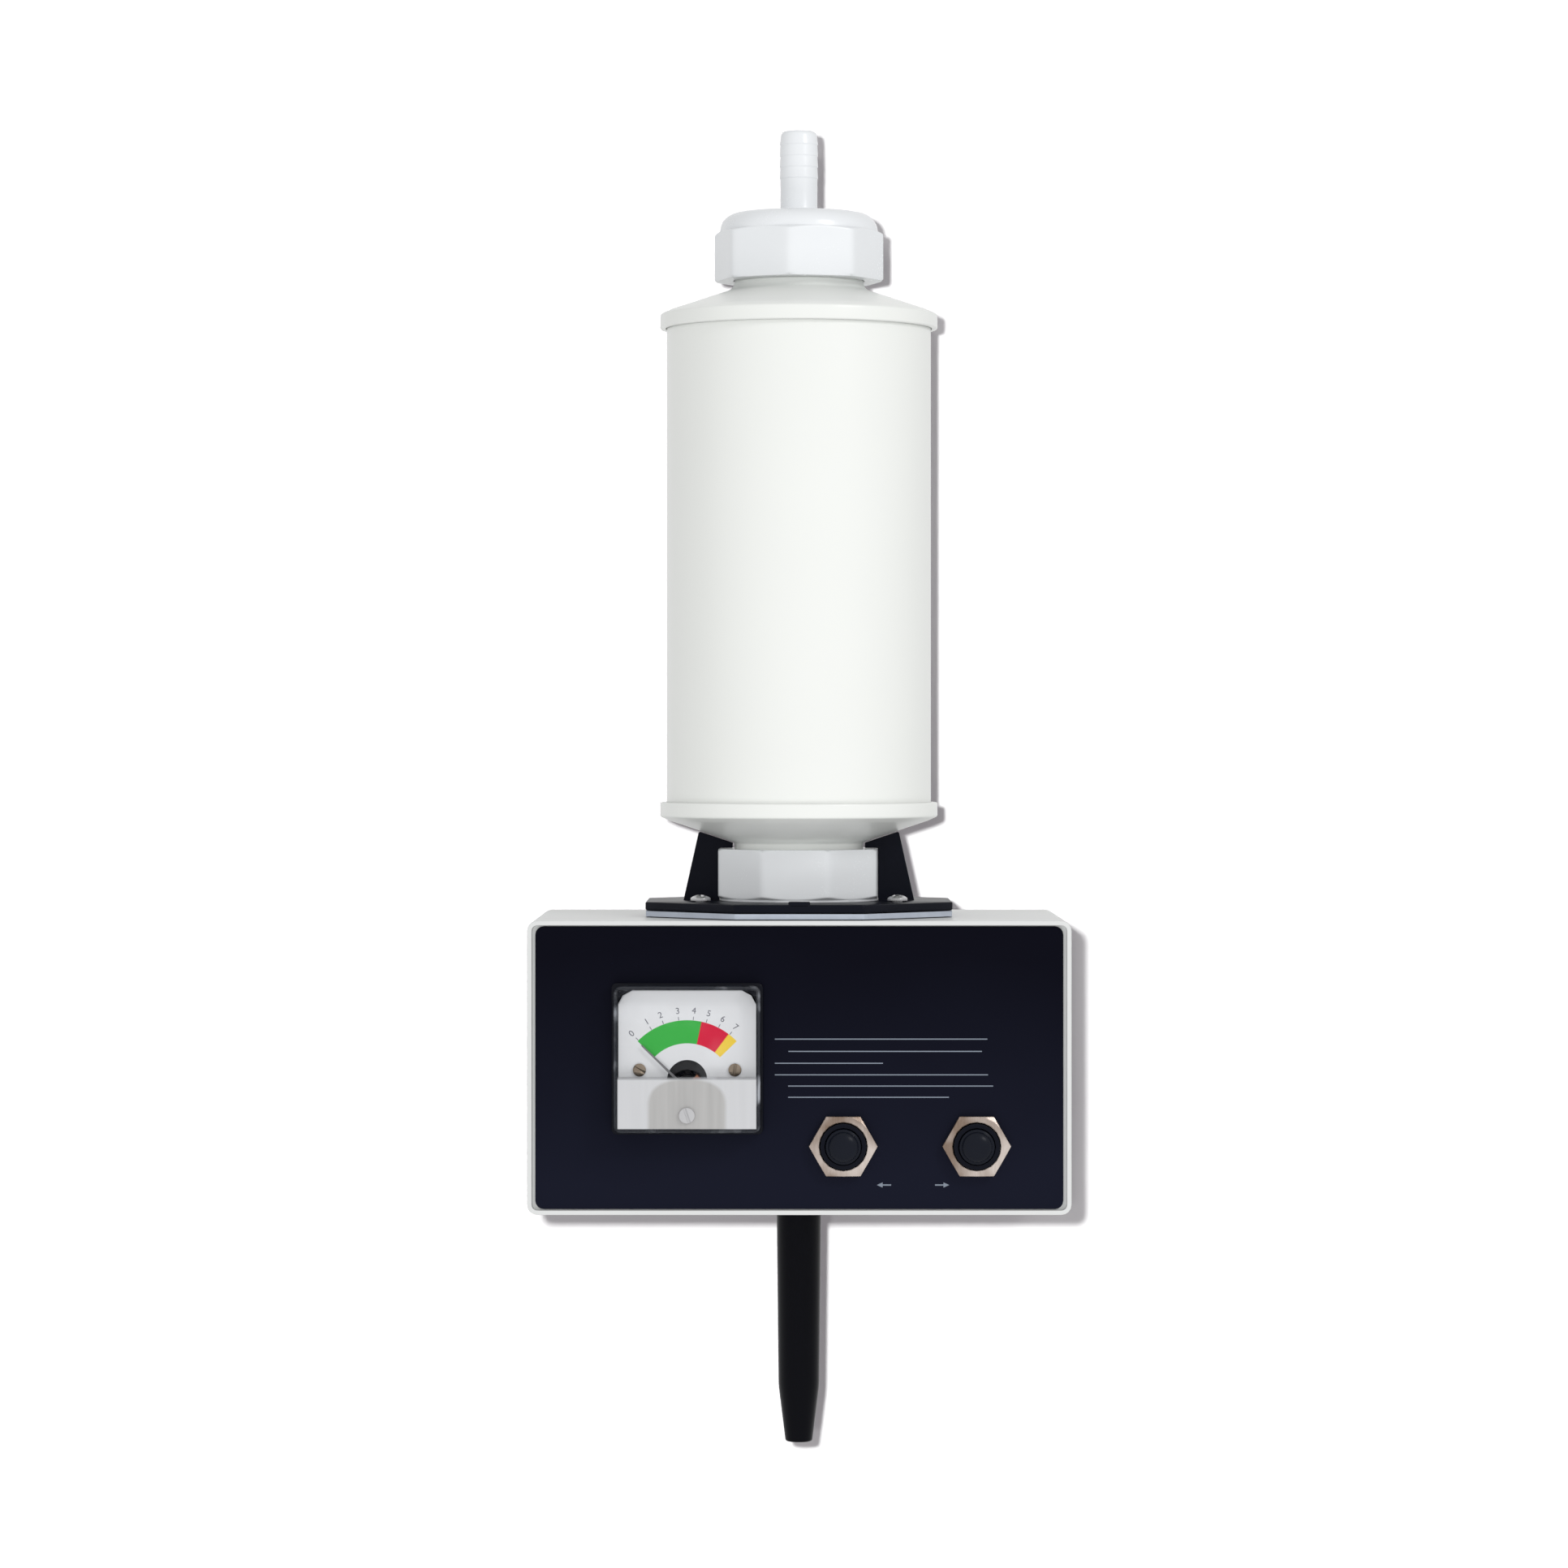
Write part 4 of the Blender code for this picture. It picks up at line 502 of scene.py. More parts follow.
cartridge = {"steps": 160, "axis": (0, -0.048), "tubeRadius": 0.0400, "wall": 0.0020, "rimRadius": 0.0420,
             "rimHeight": 0.0043, "bevelWidth": 0.0030, "bevelAngle": 24, "coneAngle": 18.5,
             "neckRadius": 0.0195, "neckWall": 0.0025, "endWall": 0.0022, "ledge": 0.0027, "gap": 0.0003,
             "rimSoft": 0.0009, "fillets": {"top": 0.0034, "bottom": 0.0008}}


def buildCartridge():
    # profiles of (radius, height) turned round the upright axis; corners are tangent arcs
    c = cartridge
    axisX, axisY = c["axis"]
    bore = c["tubeRadius"] - c["wall"]
    low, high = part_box("cartridge_tube")[0][2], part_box("cartridge_tube")[1][2]
    tube = softened([(bore, high), (c["tubeRadius"], high), (c["tubeRadius"], low), (bore, low)], 0.0003,
                    3, closed=True)
    straight = np.linspace(0, 1, 40)[1:-1, None]
    outer = np.array([[c["tubeRadius"], high - 0.0003]]) * (1 - straight) \
        + np.array([[c["tubeRadius"], low + 0.0003]]) * straight
    tube = np.concatenate([tube[:8], outer, tube[8:]])
    makePiece("cartridgeTube", [turned(tube, c["steps"], (axisX, axisY, 0))], whitePlastic, "cartridge",
              ["cartridge_tube"])
    slope = math.tan(math.radians(c["coneAngle"]))
    bevelX = c["rimRadius"] - c["bevelWidth"]
    bevelZ = c["rimHeight"] + c["bevelWidth"] * math.tan(math.radians(c["bevelAngle"]))
    junction = bevelZ + (bevelX - c["neckRadius"]) * slope
    neckBore = c["neckRadius"] - c["neckWall"]
    for name, node, facing in (("top", "cartridge_top_end", "up"),
                               ("bottom", "cartridge_bottom_end", "down")):
        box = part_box(node)
        tip = box[1][2] - box[0][2]
        foot = box[0][2] if facing == "up" else box[1][2]
        corners = [(neckBore, tip), (c["neckRadius"], tip), (c["neckRadius"], junction), (bevelX, bevelZ),
                   (c["rimRadius"], c["rimHeight"]), (c["rimRadius"], 0), (c["tubeRadius"] + c["gap"], 0),
                   (c["tubeRadius"] + c["gap"], c["ledge"]), (bore, c["ledge"]),
                   (neckBore, junction - c["endWall"])]
        radii = [0.0004, 0.0005, c["fillets"][name], 0.006, c["rimSoft"], 0.0005, 0.0002, 0.0002, 0.0003,
                 0.001]
        profile = softened(corners, radii, 7, closed=True)
        makePiece(name + "End", [turned(profile, c["steps"], (axisX, axisY, foot), facing)], whitePlastic,
                  "cartridge", [node], 50)


buildCartridge()
print("cartridge made")


# octagonal caps

capShape = {"steps": 256, "vertexRadius": 0.0260, "corner": 60, "blend": 0.00022, "skirt": 0.0141,
            "cornerRise": 0.0009, "height": 0.0210, "edgeRadius": 0.0055, "crown": 0.0005, "bore": 0.0198,
            "floor": 0.0180, "water": 0.0027, "upperTurn": -6.5, "lowerTurn": -3.0}
barb = {"length": 0.0245, "first": 0.0040, "pitch": 0.0034, "count": 4, "radius": 0.0058, "root": 0.00562,
        "tip": 0.0053, "foot": 0.0018}


def capGrid(tail, turnDegrees, centre, facing):
    # the radius is the softly smaller of a turned envelope and a rounded octagon:
    # octagon(a) = flat / (sum over faces of cos(a - face)^p)^(1/p)
    # smaller(u, v) = -k ln(e^(-u/k) + e^(-v/k))
    s = capShape
    flat = s["vertexRadius"] * math.cos(math.pi / 8)
    dome = flat - 0.00008
    edgeHeight = s["height"] - s["crown"] - s["edgeRadius"]
    turn = np.linspace(math.pi / 2, 0, 13)
    edge = np.stack([dome - s["edgeRadius"] + s["edgeRadius"] * np.cos(turn),
                     edgeHeight + s["edgeRadius"] * np.sin(turn)], -1)
    wide = s["vertexRadius"] + 0.003
    rise = (s["vertexRadius"] - dome) / s["cornerRise"]
    slopeTop = s["skirt"] + s["cornerRise"]
    slope = np.linspace(0, 1, 14)[:, None]
    shoulder = np.array([[dome, slopeTop]]) * (1 - slope) \
        + np.array([[wide, s["skirt"] - (wide - s["vertexRadius"]) / rise]]) * slope
    skirt = np.stack([np.full(24, wide), np.linspace(shoulder[-1][1], 0.0006, 25)[1:]], -1)
    lip = softened([(wide, 0.0006), (dome + 0.0012, 0), (s["bore"], 0), (s["bore"], s["floor"]),
                    (s["water"], s["floor"])], [0, 0.0002, 0.0003, 0.0003, 0], 3)
    profile = np.concatenate([tail, edge, shoulder[1:], skirt, lip[1:]])
    radius, height = profile[:, :1], profile[:, 1:]
    angles = np.arange(s["steps"]) * tau / s["steps"]
    faces = math.radians(turnDegrees) - math.pi / 2 + np.arange(8) * tau / 8
    power = s["corner"]
    lean = np.clip(np.cos(angles[:, None] - faces[None, :]), 0, 1) ** power
    octagon = flat / lean.sum(1) ** (1 / power)
    blend = s["blend"]
    smaller = -blend * np.log(np.exp(-(radius - dome) / blend)
                              + np.exp(-(octagon[None, :] - dome) / blend)) + dome
    inside = radius < dome - 0.002
    smaller = np.where(inside, radius, smaller)
    grid = np.stack([smaller * np.cos(angles), smaller * np.sin(angles),
                     np.repeat(height, s["steps"], 1)], -1)
    return (towards(grid, centre, facing), True, True)


def barbTail():
    # a polyline of slopes and small steps, its corners rounded
    s, b = capShape, barb
    tip = s["height"] + b["length"]
    corners, radii = [(s["water"], tip), (b["tip"], tip)], [0.0003, 0.0016]
    for number in range(b["count"]):
        edge = tip - b["first"] - number * b["pitch"]
        corners += [(b["radius"], edge), (b["root"], edge - 0.0003)]
        radii += [0.0002, 0.0003]
    corners += [(b["root"], s["height"]), (b["root"] + b["foot"] * 1.5, s["height"] - 0.00002)]
    radii += [b["foot"], 0]
    return softened(corners, radii, 5)


def buildCaps():
    axisX, axisY = cartridge["axis"]
    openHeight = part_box("inlet_cap")[0][2]
    upper = capGrid(barbTail(), capShape["upperTurn"] + 22.5, (axisX, axisY, openHeight), "up")
    makePiece("inletCap", [upper], capPlastic, "inlet_cap", ["inlet_cap"], 40)
    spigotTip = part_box("socket_cap")[1][2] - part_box("socket_cap")[0][2]
    spigot = softened([(capShape["water"], spigotTip), (0.0060, spigotTip), (0.0060, capShape["height"]),
                       (0.0075, capShape["height"])], [0, 0.0005, 0.0005, 0], 4)
    lower = capGrid(spigot, -capShape["lowerTurn"], (axisX, axisY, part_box("socket_cap")[1][2]), "down")
    makePiece("socketCap", [lower], capPlastic, "case", ["socket_cap"], 40)


buildCaps()
print("caps made")


# spout

spoutShape = {"steps": 96, "stem": 0.0053, "top": 0.00675, "low": 0.00615, "tip": 0.00405, "bore": 0.0027,
              "taper": 0.0170}


def buildSpout():
    # a tapered tube: shoulder against the case, long slight taper, then a nose
    s = spoutShape
    low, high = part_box("spout")[0][2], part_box("spout")[1][2]
    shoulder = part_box("case_shell")[0][2] - 0.0003
    profile = softened([(s["bore"], high), (s["stem"], high), (s["stem"], shoulder), (s["top"], shoulder),
                        (s["low"], low + s["taper"]), (s["tip"], low), (s["bore"], low)],
                       [0.0003, 0.0004, 0.0002, 0.0006, 0.03, 0.0007, 0.0003], 8, closed=True)
    makePiece("outletSpout", [turned(profile, s["steps"], (*cartridge["axis"], 0))], spoutPlastic, "case",
              ["spout"])


buildSpout()
print("spout made")


# meter

meter = {"x": -0.0329, "z": 0.0028, "face": -0.0947, "square": 0.0430, "wall": 0.0012, "proud": 0.0090,
         "low": 0.0035, "corner": 0.0022, "edge": 0.0010, "pivotDrop": 0.0088, "adjusterDrop": 0.0162,
         "adjusterHole": 0.0018, "adjusterRadius": 0.0023, "adjusterStem": 0.0015, "slotWidth": 0.0007,
         "slotDepth": 0.0004, "dialEdge": 0.00615, "screwReach": 0.0140, "screwDrop": 0.0032,
         "screwHead": 0.0019}


tray = {"square": 0.0445, "wall": 0.0012, "corner": 0.0016, "floor": 0.0013, "top": 0.0032, "gap": 0.0003,
        "barrel": 0.0190, "deep": 0.0270, "pocket": 0.0090, "pocketDeep": 0.0160, "post": 0.0040,
        "postTop": 0.0075, "notch": 0.0059, "boss": 0.0021}


def meterCentre(height=0.0, drop=0.0, reach=0.0):
    return (meter["x"] + reach, meter["face"] - height, meter["z"] - drop)


def coverFinish():
    # clear above the dial's lower edge; frosted below, with the grey arch of the movement behind it
    finish = Finish("clearCover", Specular_IOR_Level=0.35)
    x, y, z = finish.axes(finish.place(shift=(-meter["x"], 0, -meter["z"])))
    half = meter["square"] / 2
    frosted = z.below(-meter["dialEdge"] + 0.0008, 0.0012)
    inside = x.size().below(half - 0.0012, 0.0003) * z.size().below(half - 0.0013, 0.0003)
    front = y.below(meter["face"] - meter["proud"] + 0.0003, 0.0002)
    ribs = finish.noise(finish.place(stretch=(1, 1, 0.05)), 520, 2.0)
    drop = z + 0.0135
    bulge = ((x.size() / 0.0113) ** 2.5 + (drop.reckon("MAXIMUM", drop, 0.0) / 0.0078) ** 2.5) ** 0.4
    arch = bulge.below(1.0, 0.10)
    shade = finish.mix(ribs, grey(0.56, (0.99, 1, 1.03)), grey(0.62, (0.99, 1, 1.03)))
    archShade = finish.mix(ribs, grey(0.36, (1, 0.99, 0.98)), grey(0.50, (1, 0.99, 0.98)))
    shade = finish.mix(arch, shade, archShade)
    # painted highlights: light streaks of stretched noise on the dark glassy rim of the cover
    highlightStreaks = finish.noise(finish.place(stretch=(1, 0.3, 1)), 95, 2.0).above(0.60, 0.12)
    lip = x.size().reckon("MAXIMUM", x.size(), z.size()).above(half - 0.0007, 0.0003)
    rim = finish.mix(highlightStreaks, grey(0.035, (0.9, 1, 1.3)), grey(0.42, (0.95, 1, 1.1)))
    finish.colour(finish.mix(inside * frosted, rim, shade))
    clear = inside * (1.0 - frosted)
    alpha = 0.30 - clear * 0.27 + inside * frosted * front * 0.63 + lip * (0.25 + highlightStreaks * 0.3)
    finish.feed(finish.shader.inputs["Alpha"], alpha)
    finish.rough(0.06 + frosted * inside * (0.34 + ribs * 0.1))
    finish.bump(ribs, 0.00002, 0.0, 0.4)
    return finish.material


def dialFinish():
    # white card; colour arc from polar coordinates round the pivot, radius = |(x, z)|, angle = atan2(x, z)
    finish = Finish("dialCard", Roughness=0.5, Specular_IOR_Level=0.3)
    x, y, z = finish.axes(finish.place(shift=(-meter["x"], 0, meter["pivotDrop"] - meter["z"])))
    radius = (x * x + z * z) ** 0.5
    angle = x.reckon("ARCTAN2", x, z) * (180 / math.pi)
    band = radius.above(0.0134, 0.00012) * radius.below(0.0202, 0.00012)
    band = band * angle.above(-46, 0.5) * angle.below(46, 0.5)
    grain = finish.noise(finish.place(), 1800, 2.0)
    card = finish.mix(grain, grey(0.70, (0.985, 1.0, 1.03)), grey(0.75, (0.985, 1.0, 1.03)))
    colour = finish.mix(angle.above(12, 0.6), (0.040, 0.400, 0.058, 1), (0.62, 0.010, 0.045, 1))
    colour = finish.mix(angle.above(37, 0.6), colour, (0.82, 0.58, 0.060, 1))
    finish.colour(finish.mix(band, card, colour))
    finish.rough(0.45 + grain * 0.15)
    finish.bump(grain, 0.000005)
    return finish.material


def inkFinish(name, colour):
    finish = Finish(name, Roughness=0.5, Specular_IOR_Level=0.2)
    grain = finish.noise(finish.place(), 4000, 2.0)
    finish.colour(finish.mix(grain, lighter(colour, 0.85), lighter(colour, 1.15)))
    finish.rough(0.45 + grain * 0.2)
    return finish.material


def buildCover():
    # rows are rounded squares: up the outside, round the front edge, in to the screw hole and back inside
    m = meter
    hole = (0, -m["adjusterDrop"])

    def ring(inset, height):
        side = m["square"] - 2 * inset
        return level(roundedSquare(side, side, max(m["corner"] - inset, 0.0004)), height)

    rows = [ring(0, h) for h in np.linspace(m["low"], m["proud"] - m["edge"], 5)]
    for turn in np.linspace(0, math.pi / 2, 7)[1:]:
        rows.append(ring(m["edge"] * (1 - math.cos(turn)), m["proud"] - m["edge"] * (1 - math.sin(turn))))
    outline = rows[-1][:, :2]
    for share in np.linspace(0, 1, 10)[1:]:
        rows.append(level(outline * (1 - share) + aimedAt(outline, hole, m["adjusterHole"]) * share,
                          m["proud"]))
    inner = ring(m["wall"] + 0.0004, m["proud"] - m["wall"])[:, :2]
    under = m["proud"] - m["wall"]
    for share in np.linspace(1, 0, 10):
        rows.append(level(inner * (1 - share) + aimedAt(inner, hole, m["adjusterHole"]) * share, under))
    rows.append(ring(m["wall"] + 0.0001, under - 0.0003))
    rows += [ring(m["wall"], h) for h in np.linspace(under - 0.0006, m["low"], 4)]
    grid = towards(np.stack(rows), meterCentre(), "front")
    makePiece("meterCover", [(grid, True, True)], coverFinish(), "case", ["meter_cover"], 40)


def slottedHead(radius, dome, slotWidth, slotDepth, cross=False, rings=20, steps=72):
    # height over a disc: dome (1 - (r/R)^2.4) less a slot whose walls are a steep smooth step
    r = np.linspace(0, 1, rings)[:, None] * radius
    a = (np.arange(steps) * tau / steps)[None, :]
    x, y = r * np.cos(a), r * np.sin(a)
    height = dome * (1 - (r / radius) ** 2.4) + 0 * a

    def groove(across, along, reach):
        side = 1 / (1 + np.exp((np.abs(across) - slotWidth / 2) / (slotWidth * 0.06)))
        end = 1 / (1 + np.exp((np.abs(along) - reach) / (slotWidth * 0.12)))
        return side * end

    reach = radius * 0.62 if cross else radius * 2
    sink = groove(y, x, reach)
    if cross:
        sink = np.maximum(sink, groove(x, y, reach))
        sink = sink * (1 - 0.5 * np.hypot(x, y) / radius)
    return np.stack([x, y, height - slotDepth * sink], -1)


def screwGrids(head, low, shaft, seat, top, centre, facing, turn=0.0):
    # a head surface over a turned side and shank
    steps = head.shape[1]
    radius = head[-1, 0, 0]
    cos, sin = math.cos(turn), math.sin(turn)
    spun = np.stack([head[..., 0] * cos - head[..., 1] * sin, head[..., 0] * sin + head[..., 1] * cos,
                     head[..., 2] + top], -1)
    rim = spun[-1:]
    angle = np.arange(steps) * tau / steps + turn
    below = [rim]
    for r, h in ((radius * 1.0, seat + 0.0001), (radius * 0.97, seat), (shaft, seat), (shaft, low),
                 (0.0, low)):
        below.append(np.stack([r * np.cos(angle), r * np.sin(angle), np.full(steps, h)], -1)[None])
    return [(towards(spun, centre, facing), False, True),
            (towards(np.concatenate(below), centre, facing), False, True)]


def buildMeterTrim():
    m = meter
    for side, name in ((-1, "dial_screw_left"), (1, "dial_screw_right")):
        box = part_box(name)
        seat, top, low = (m["face"] - value
                          for value in (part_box("meter_dial")[0][1] - 0.0003, box[0][1], box[1][1]))
        head = slottedHead(m["screwHead"], (top - seat) * 0.5, 0.0006, 0.0003)
        makePiece("dialScrew" + name[11:].title(),
                  screwGrids(head, low, 0.0008, seat, seat + (top - seat) * 0.5,
                             meterCentre(drop=m["screwDrop"], reach=side * m["screwReach"]), "front",
                             0.5 + side), brass, "case", [name])
    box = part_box("zero_adjuster")
    top = m["face"] - box[0][1]
    seat = m["proud"] + 0.0003
    low = m["face"] - box[1][1]
    head = slottedHead(m["adjusterRadius"], 0.0002, m["slotWidth"], m["slotDepth"])
    stem = m["proud"] - m["wall"] - 0.0003
    grids = screwGrids(head, stem, m["adjusterStem"], seat, top - 0.0002, meterCentre(drop=m["adjusterDrop"]),
                       "front", 1.9)
    grids.append(turned([(0.0, stem + 0.0004), (0.0005, stem + 0.0004), (0.0005, low), (0.0, low)], 24,
                        meterCentre(drop=m["adjusterDrop"] - 0.0009), "front", False))
    screwWhite = simpleFinish("screwWhite", (0.46, 0.46, 0.47, 1), 0.35, mottle=0.05, grain=2500)
    makePiece("zeroScrew", grids, screwWhite, "zero_adjuster", ["zero_adjuster"])


def buildTray():
    # one closed skin: pocket floor, pocket wall, tray floor, rim, side, and the barrel behind the panel;
    # every row has the same count, a circle row being the outline's points aimed at a centre
    t = tray
    outline = roundedSquare(t["square"], t["square"], t["corner"])
    inside = roundedSquare(t["square"] - 2 * t["wall"], t["square"] - 2 * t["wall"], t["corner"])
    pivot = (0, -meter["pivotDrop"])
    rows = [level(aimedAt(inside, pivot, 0.0), -t["pocketDeep"]),
            level(aimedAt(inside, pivot, t["pocket"]), -t["pocketDeep"]),
            level(aimedAt(inside, pivot, t["pocket"]), t["floor"]), level(inside, t["floor"]),
            level(inside, t["top"] - 0.0001), level(inside * 1.003, t["top"]),
            level(outline * 0.992, t["top"]),
            level(outline * 0.998, t["top"] - 0.00012), level(outline, t["top"] - 0.0004),
            level(outline, t["gap"]), level(aimedAt(outline, (0, 0), t["barrel"]), t["gap"]),
            level(aimedAt(outline, (0, 0), t["barrel"]), -t["deep"]),
            level(aimedAt(outline, (0, 0), 0.0), -t["deep"])]
    grids = [(towards(np.stack(rows), meterCentre(), "front"), False, True)]
    corner = meter["square"] / 2 - meter["wall"] - 0.0001
    turn = np.linspace(0, math.pi / 2, 12)
    for side in (-1, 1):
        # a post in each upper corner, hollowed to clear the dial's rounded corner
        quarter = corner - t["post"] * (1 - np.stack([np.cos(turn), np.sin(turn)], -1))
        post = np.concatenate([[[corner, corner]], quarter]) * (side, 1)
        middle = post.mean(0)
        column = [level(middle + (post - middle) * 0.0, t["floor"]), level(post, t["floor"]),
                  level(post, t["postTop"] - 0.0003), level(middle + (post - middle) * 0.93, t["postTop"]),
                  level(middle + (post - middle) * 0.0, t["postTop"])]
        grids.append((towards(np.stack(column), meterCentre(), "front"), False, True))
        grids.append(turned([(0.0, t["top"]), (t["boss"], t["top"]), (t["boss"], t["floor"]),
                             (0.0, t["floor"])], 32,
                            meterCentre(drop=meter["screwDrop"], reach=side * meter["screwReach"]), "front",
                            False))
    makePiece("meterTray", grids, glossBlack, "case", ["meter_case"], 40)


def buildDial():
    # a flat card with a half-round notch below and rounded upper corners beside the posts
    t = tray
    half = meter["square"] / 2 - meter["wall"] - 0.0001
    bottom, cutRadius, notch = -meter["dialEdge"], t["post"] + 0.0002, t["notch"]
    turn = np.linspace(0, 1, 25)
    lower = np.stack([-notch * np.cos(turn * math.pi), bottom + notch * np.sin(turn * math.pi)], -1)
    quarter = np.stack([np.cos(turn * math.pi / 2), np.sin(turn * math.pi / 2)], -1) * cutRadius
    right = np.array([half, half]) - cutRadius + quarter
    left = right * (-1, 1)
    outline = np.concatenate([lower, [(half, bottom)], right, left[::-1], [(-half, bottom)]])
    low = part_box("meter_dial")[1][1]
    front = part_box("meter_dial")[0][1]
    count = len(outline)
    across, up = outline[:, 0] + meter["x"], outline[:, 1] + meter["z"]
    points = np.concatenate([np.stack([across, np.full(count, front), up], -1),
                             np.stack([across, np.full(count, low), up], -1)])
    near = np.arange(count)
    ahead = (near + 1) % count
    faces = [tuple(near), tuple(near[::-1] + count)]
    faces += [tuple(side) for side in np.stack([near, near + count, ahead + count, ahead], -1).tolist()]
    mesh = bpy.data.meshes.new("dialCard")
    mesh.from_pydata(points, [], [tuple(int(n) for n in face) for face in faces])
    shape = bmesh.new()
    shape.from_mesh(mesh)
    bmesh.ops.recalc_face_normals(shape, faces=shape.faces)
    shape.to_mesh(mesh)
    shape.free()
    mesh.materials.append(dialFinish())
    settle("dialCard", mesh, "case", ["meter_dial"])


def textMesh(words, size):
    curve = bpy.data.curves.new("words", "FONT")
    curve.body = words
    curve.size = size
    curve.align_x, curve.align_y = "CENTER", "CENTER"
    holder = bpy.data.objects.new("words", curve)
    bpy.context.scene.collection.objects.link(holder)
    bpy.context.view_layer.update()
    mesh = bpy.data.meshes.new_from_object(holder.evaluated_get(bpy.context.evaluated_depsgraph_get()))
    bpy.data.objects.remove(holder)
    points = np.empty(len(mesh.vertices) * 3)
    mesh.vertices.foreach_get("co", points)
    faces = [tuple(polygon.vertices) for polygon in mesh.polygons]
    return points.reshape(-1, 3)[:, :2], faces


def flatPiece(name, shapes, plane, material, body):
    # flat outlines (points, faces) laid on the plane y = plane and facing the front
    points, faces, start = [], [], 0
    for flat, polygons in shapes:
        points.append(np.stack([flat[:, 0], np.full(len(flat), plane), flat[:, 1]], -1))
        faces += [tuple(number + start for number in polygon) for polygon in polygons]
        start += len(flat)
    mesh = bpy.data.meshes.new(name)
    mesh.from_pydata(np.concatenate(points), [], faces)
    mesh.update()
    mesh.materials.append(material)
    return settle(name, mesh, body)


def bar(x, z, width, height, turn=0.0):
    corners = np.array([(-1, -1), (1, -1), (1, 1), (-1, 1)]) * (width / 2, height / 2)
    cos, sin = math.cos(turn), math.sin(turn)
    return (corners @ np.array([(cos, sin), (-sin, cos)]) + (x, z), [(0, 1, 2, 3)])


dialMarks = {"angles": (-45, -31, -20, -7, 5, 16, 27, 38), "numbers": "01234567", "tick": 0.0208,
             "number": 0.0230, "size": 0.0026}


def buildDialMarks():
    # ticks and numbers at (R sin a, R cos a) from the pivot
    m, d = meter, dialMarks
    shapes = []
    pivotX, pivotZ = m["x"], m["z"] - m["pivotDrop"]
    for angle, number in zip(np.radians(d["angles"]), d["numbers"]):
        shapes.append(bar(pivotX + d["tick"] * math.sin(angle), pivotZ + d["tick"] * math.cos(angle), 0.0002,
                          0.0010, -angle))
        flat, faces = textMesh(number, d["size"])
        cos, sin = math.cos(-angle), math.sin(-angle)
        flat = flat @ np.array([(cos, sin), (-sin, cos)])
        place = (pivotX + d["number"] * math.sin(angle), pivotZ + d["number"] * math.cos(angle))
        shapes.append((flat + place, faces))
    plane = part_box("meter_dial")[0][1] - 0.00002
    flatPiece("dialMarks", shapes, plane, inkFinish("dialInk", (0.14, 0.14, 0.17, 1)), "case")


buildTray()
buildDial()
buildCover()
buildMeterTrim()
buildDialMarks()
print("meter made")


# push buttons

button = {"xs": {"left": 0.0129, "right": 0.0521}, "z": -0.0230, "face": -0.0947, "bush": 0.0068,
          "bore": 0.0055, "proud": 0.0041, "capRadius": 0.0052, "capProud": 0.0032, "dome": 0.0022,
          "collarRadius": 0.0060, "stemRadius": 0.0024, "steps": 96}


def buildButtons():
    # the cap's dome is a flattened sine arch with one fine step round it
    b = button
    for side, x in b["xs"].items():
        name = "button_cap_" + side
        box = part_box(name)
        deep = b["face"] - box[1][1]
        collar = -0.0045 - 0.0003
        rim = b["proud"] + b["capProud"] - b["dome"]
        turn = np.linspace(0, math.pi / 2, 16)
        inner, under = b["capRadius"] * 0.86, collar - 0.0013
        dome = np.stack([inner * np.sin(turn), rim + 0.0002 + (b["dome"] - 0.0002) * np.cos(turn)], -1)
        lower = softened([(inner, rim + 0.0002), (b["capRadius"], rim), (b["capRadius"], collar),
                          (b["collarRadius"], collar), (b["collarRadius"], under), (b["stemRadius"], under),
                          (b["stemRadius"], deep), (0.0, deep)],
                         [0, 0.0004, 0.0001, 0.0002, 0.0002, 0.0001, 0.0003, 0], 4)
        profile = np.concatenate([dome, lower[1:]])
        grid = turned(profile, b["steps"], (x, b["face"], b["z"]), "front", False)
        makePiece("buttonDome" + side.title(), [grid], domeBlack, side + "_button", [name])


buildButtons()
print("buttons made")


# holder screws

holderScrew = {"places": ((-0.0295, -0.066), (0.0295, -0.066), (-0.0295, -0.030), (0.0295, -0.030)),
               "radius": 0.0030, "shank": 0.0015}


def buildHolderScrews():
    s = holderScrew
    for number, (x, y) in enumerate(s["places"], start=1):
        low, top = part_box(f"holder_screw_{number}")[0][2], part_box(f"holder_screw_{number}")[1][2]
        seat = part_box("holder_screw_1")[1][2] - 0.0019
        head = slottedHead(s["radius"], 0.0011, 0.0007, 0.0010, cross=True)
        grids = screwGrids(head, low, s["shank"], seat, top - 0.0011, (x, y, 0), "up", 0.4 * number)
        makePiece(f"holderScrew{number}", grids, steel, "case", [f"holder_screw_{number}"])


buildHolderScrews()
print("screws made")


# holder: octagonal plate with two hooked fins, its foam gasket, and the marks on the panel

holder = {"flats": 0.0920, "low": 0.0454, "high": 0.0478, "hole": 0.0241, "corner": 0.0012, "finHalf": 0.0018,
          "foot": 0.0346, "shoulder": 0.0303, "tip": 0.0200, "capFlat": 0.02405, "hookLow": 0.0636,
          "coneFoot": 0.0650, "indexWide": 0.0065, "indexDeep": 0.0040, "indexHigh": 0.0009}


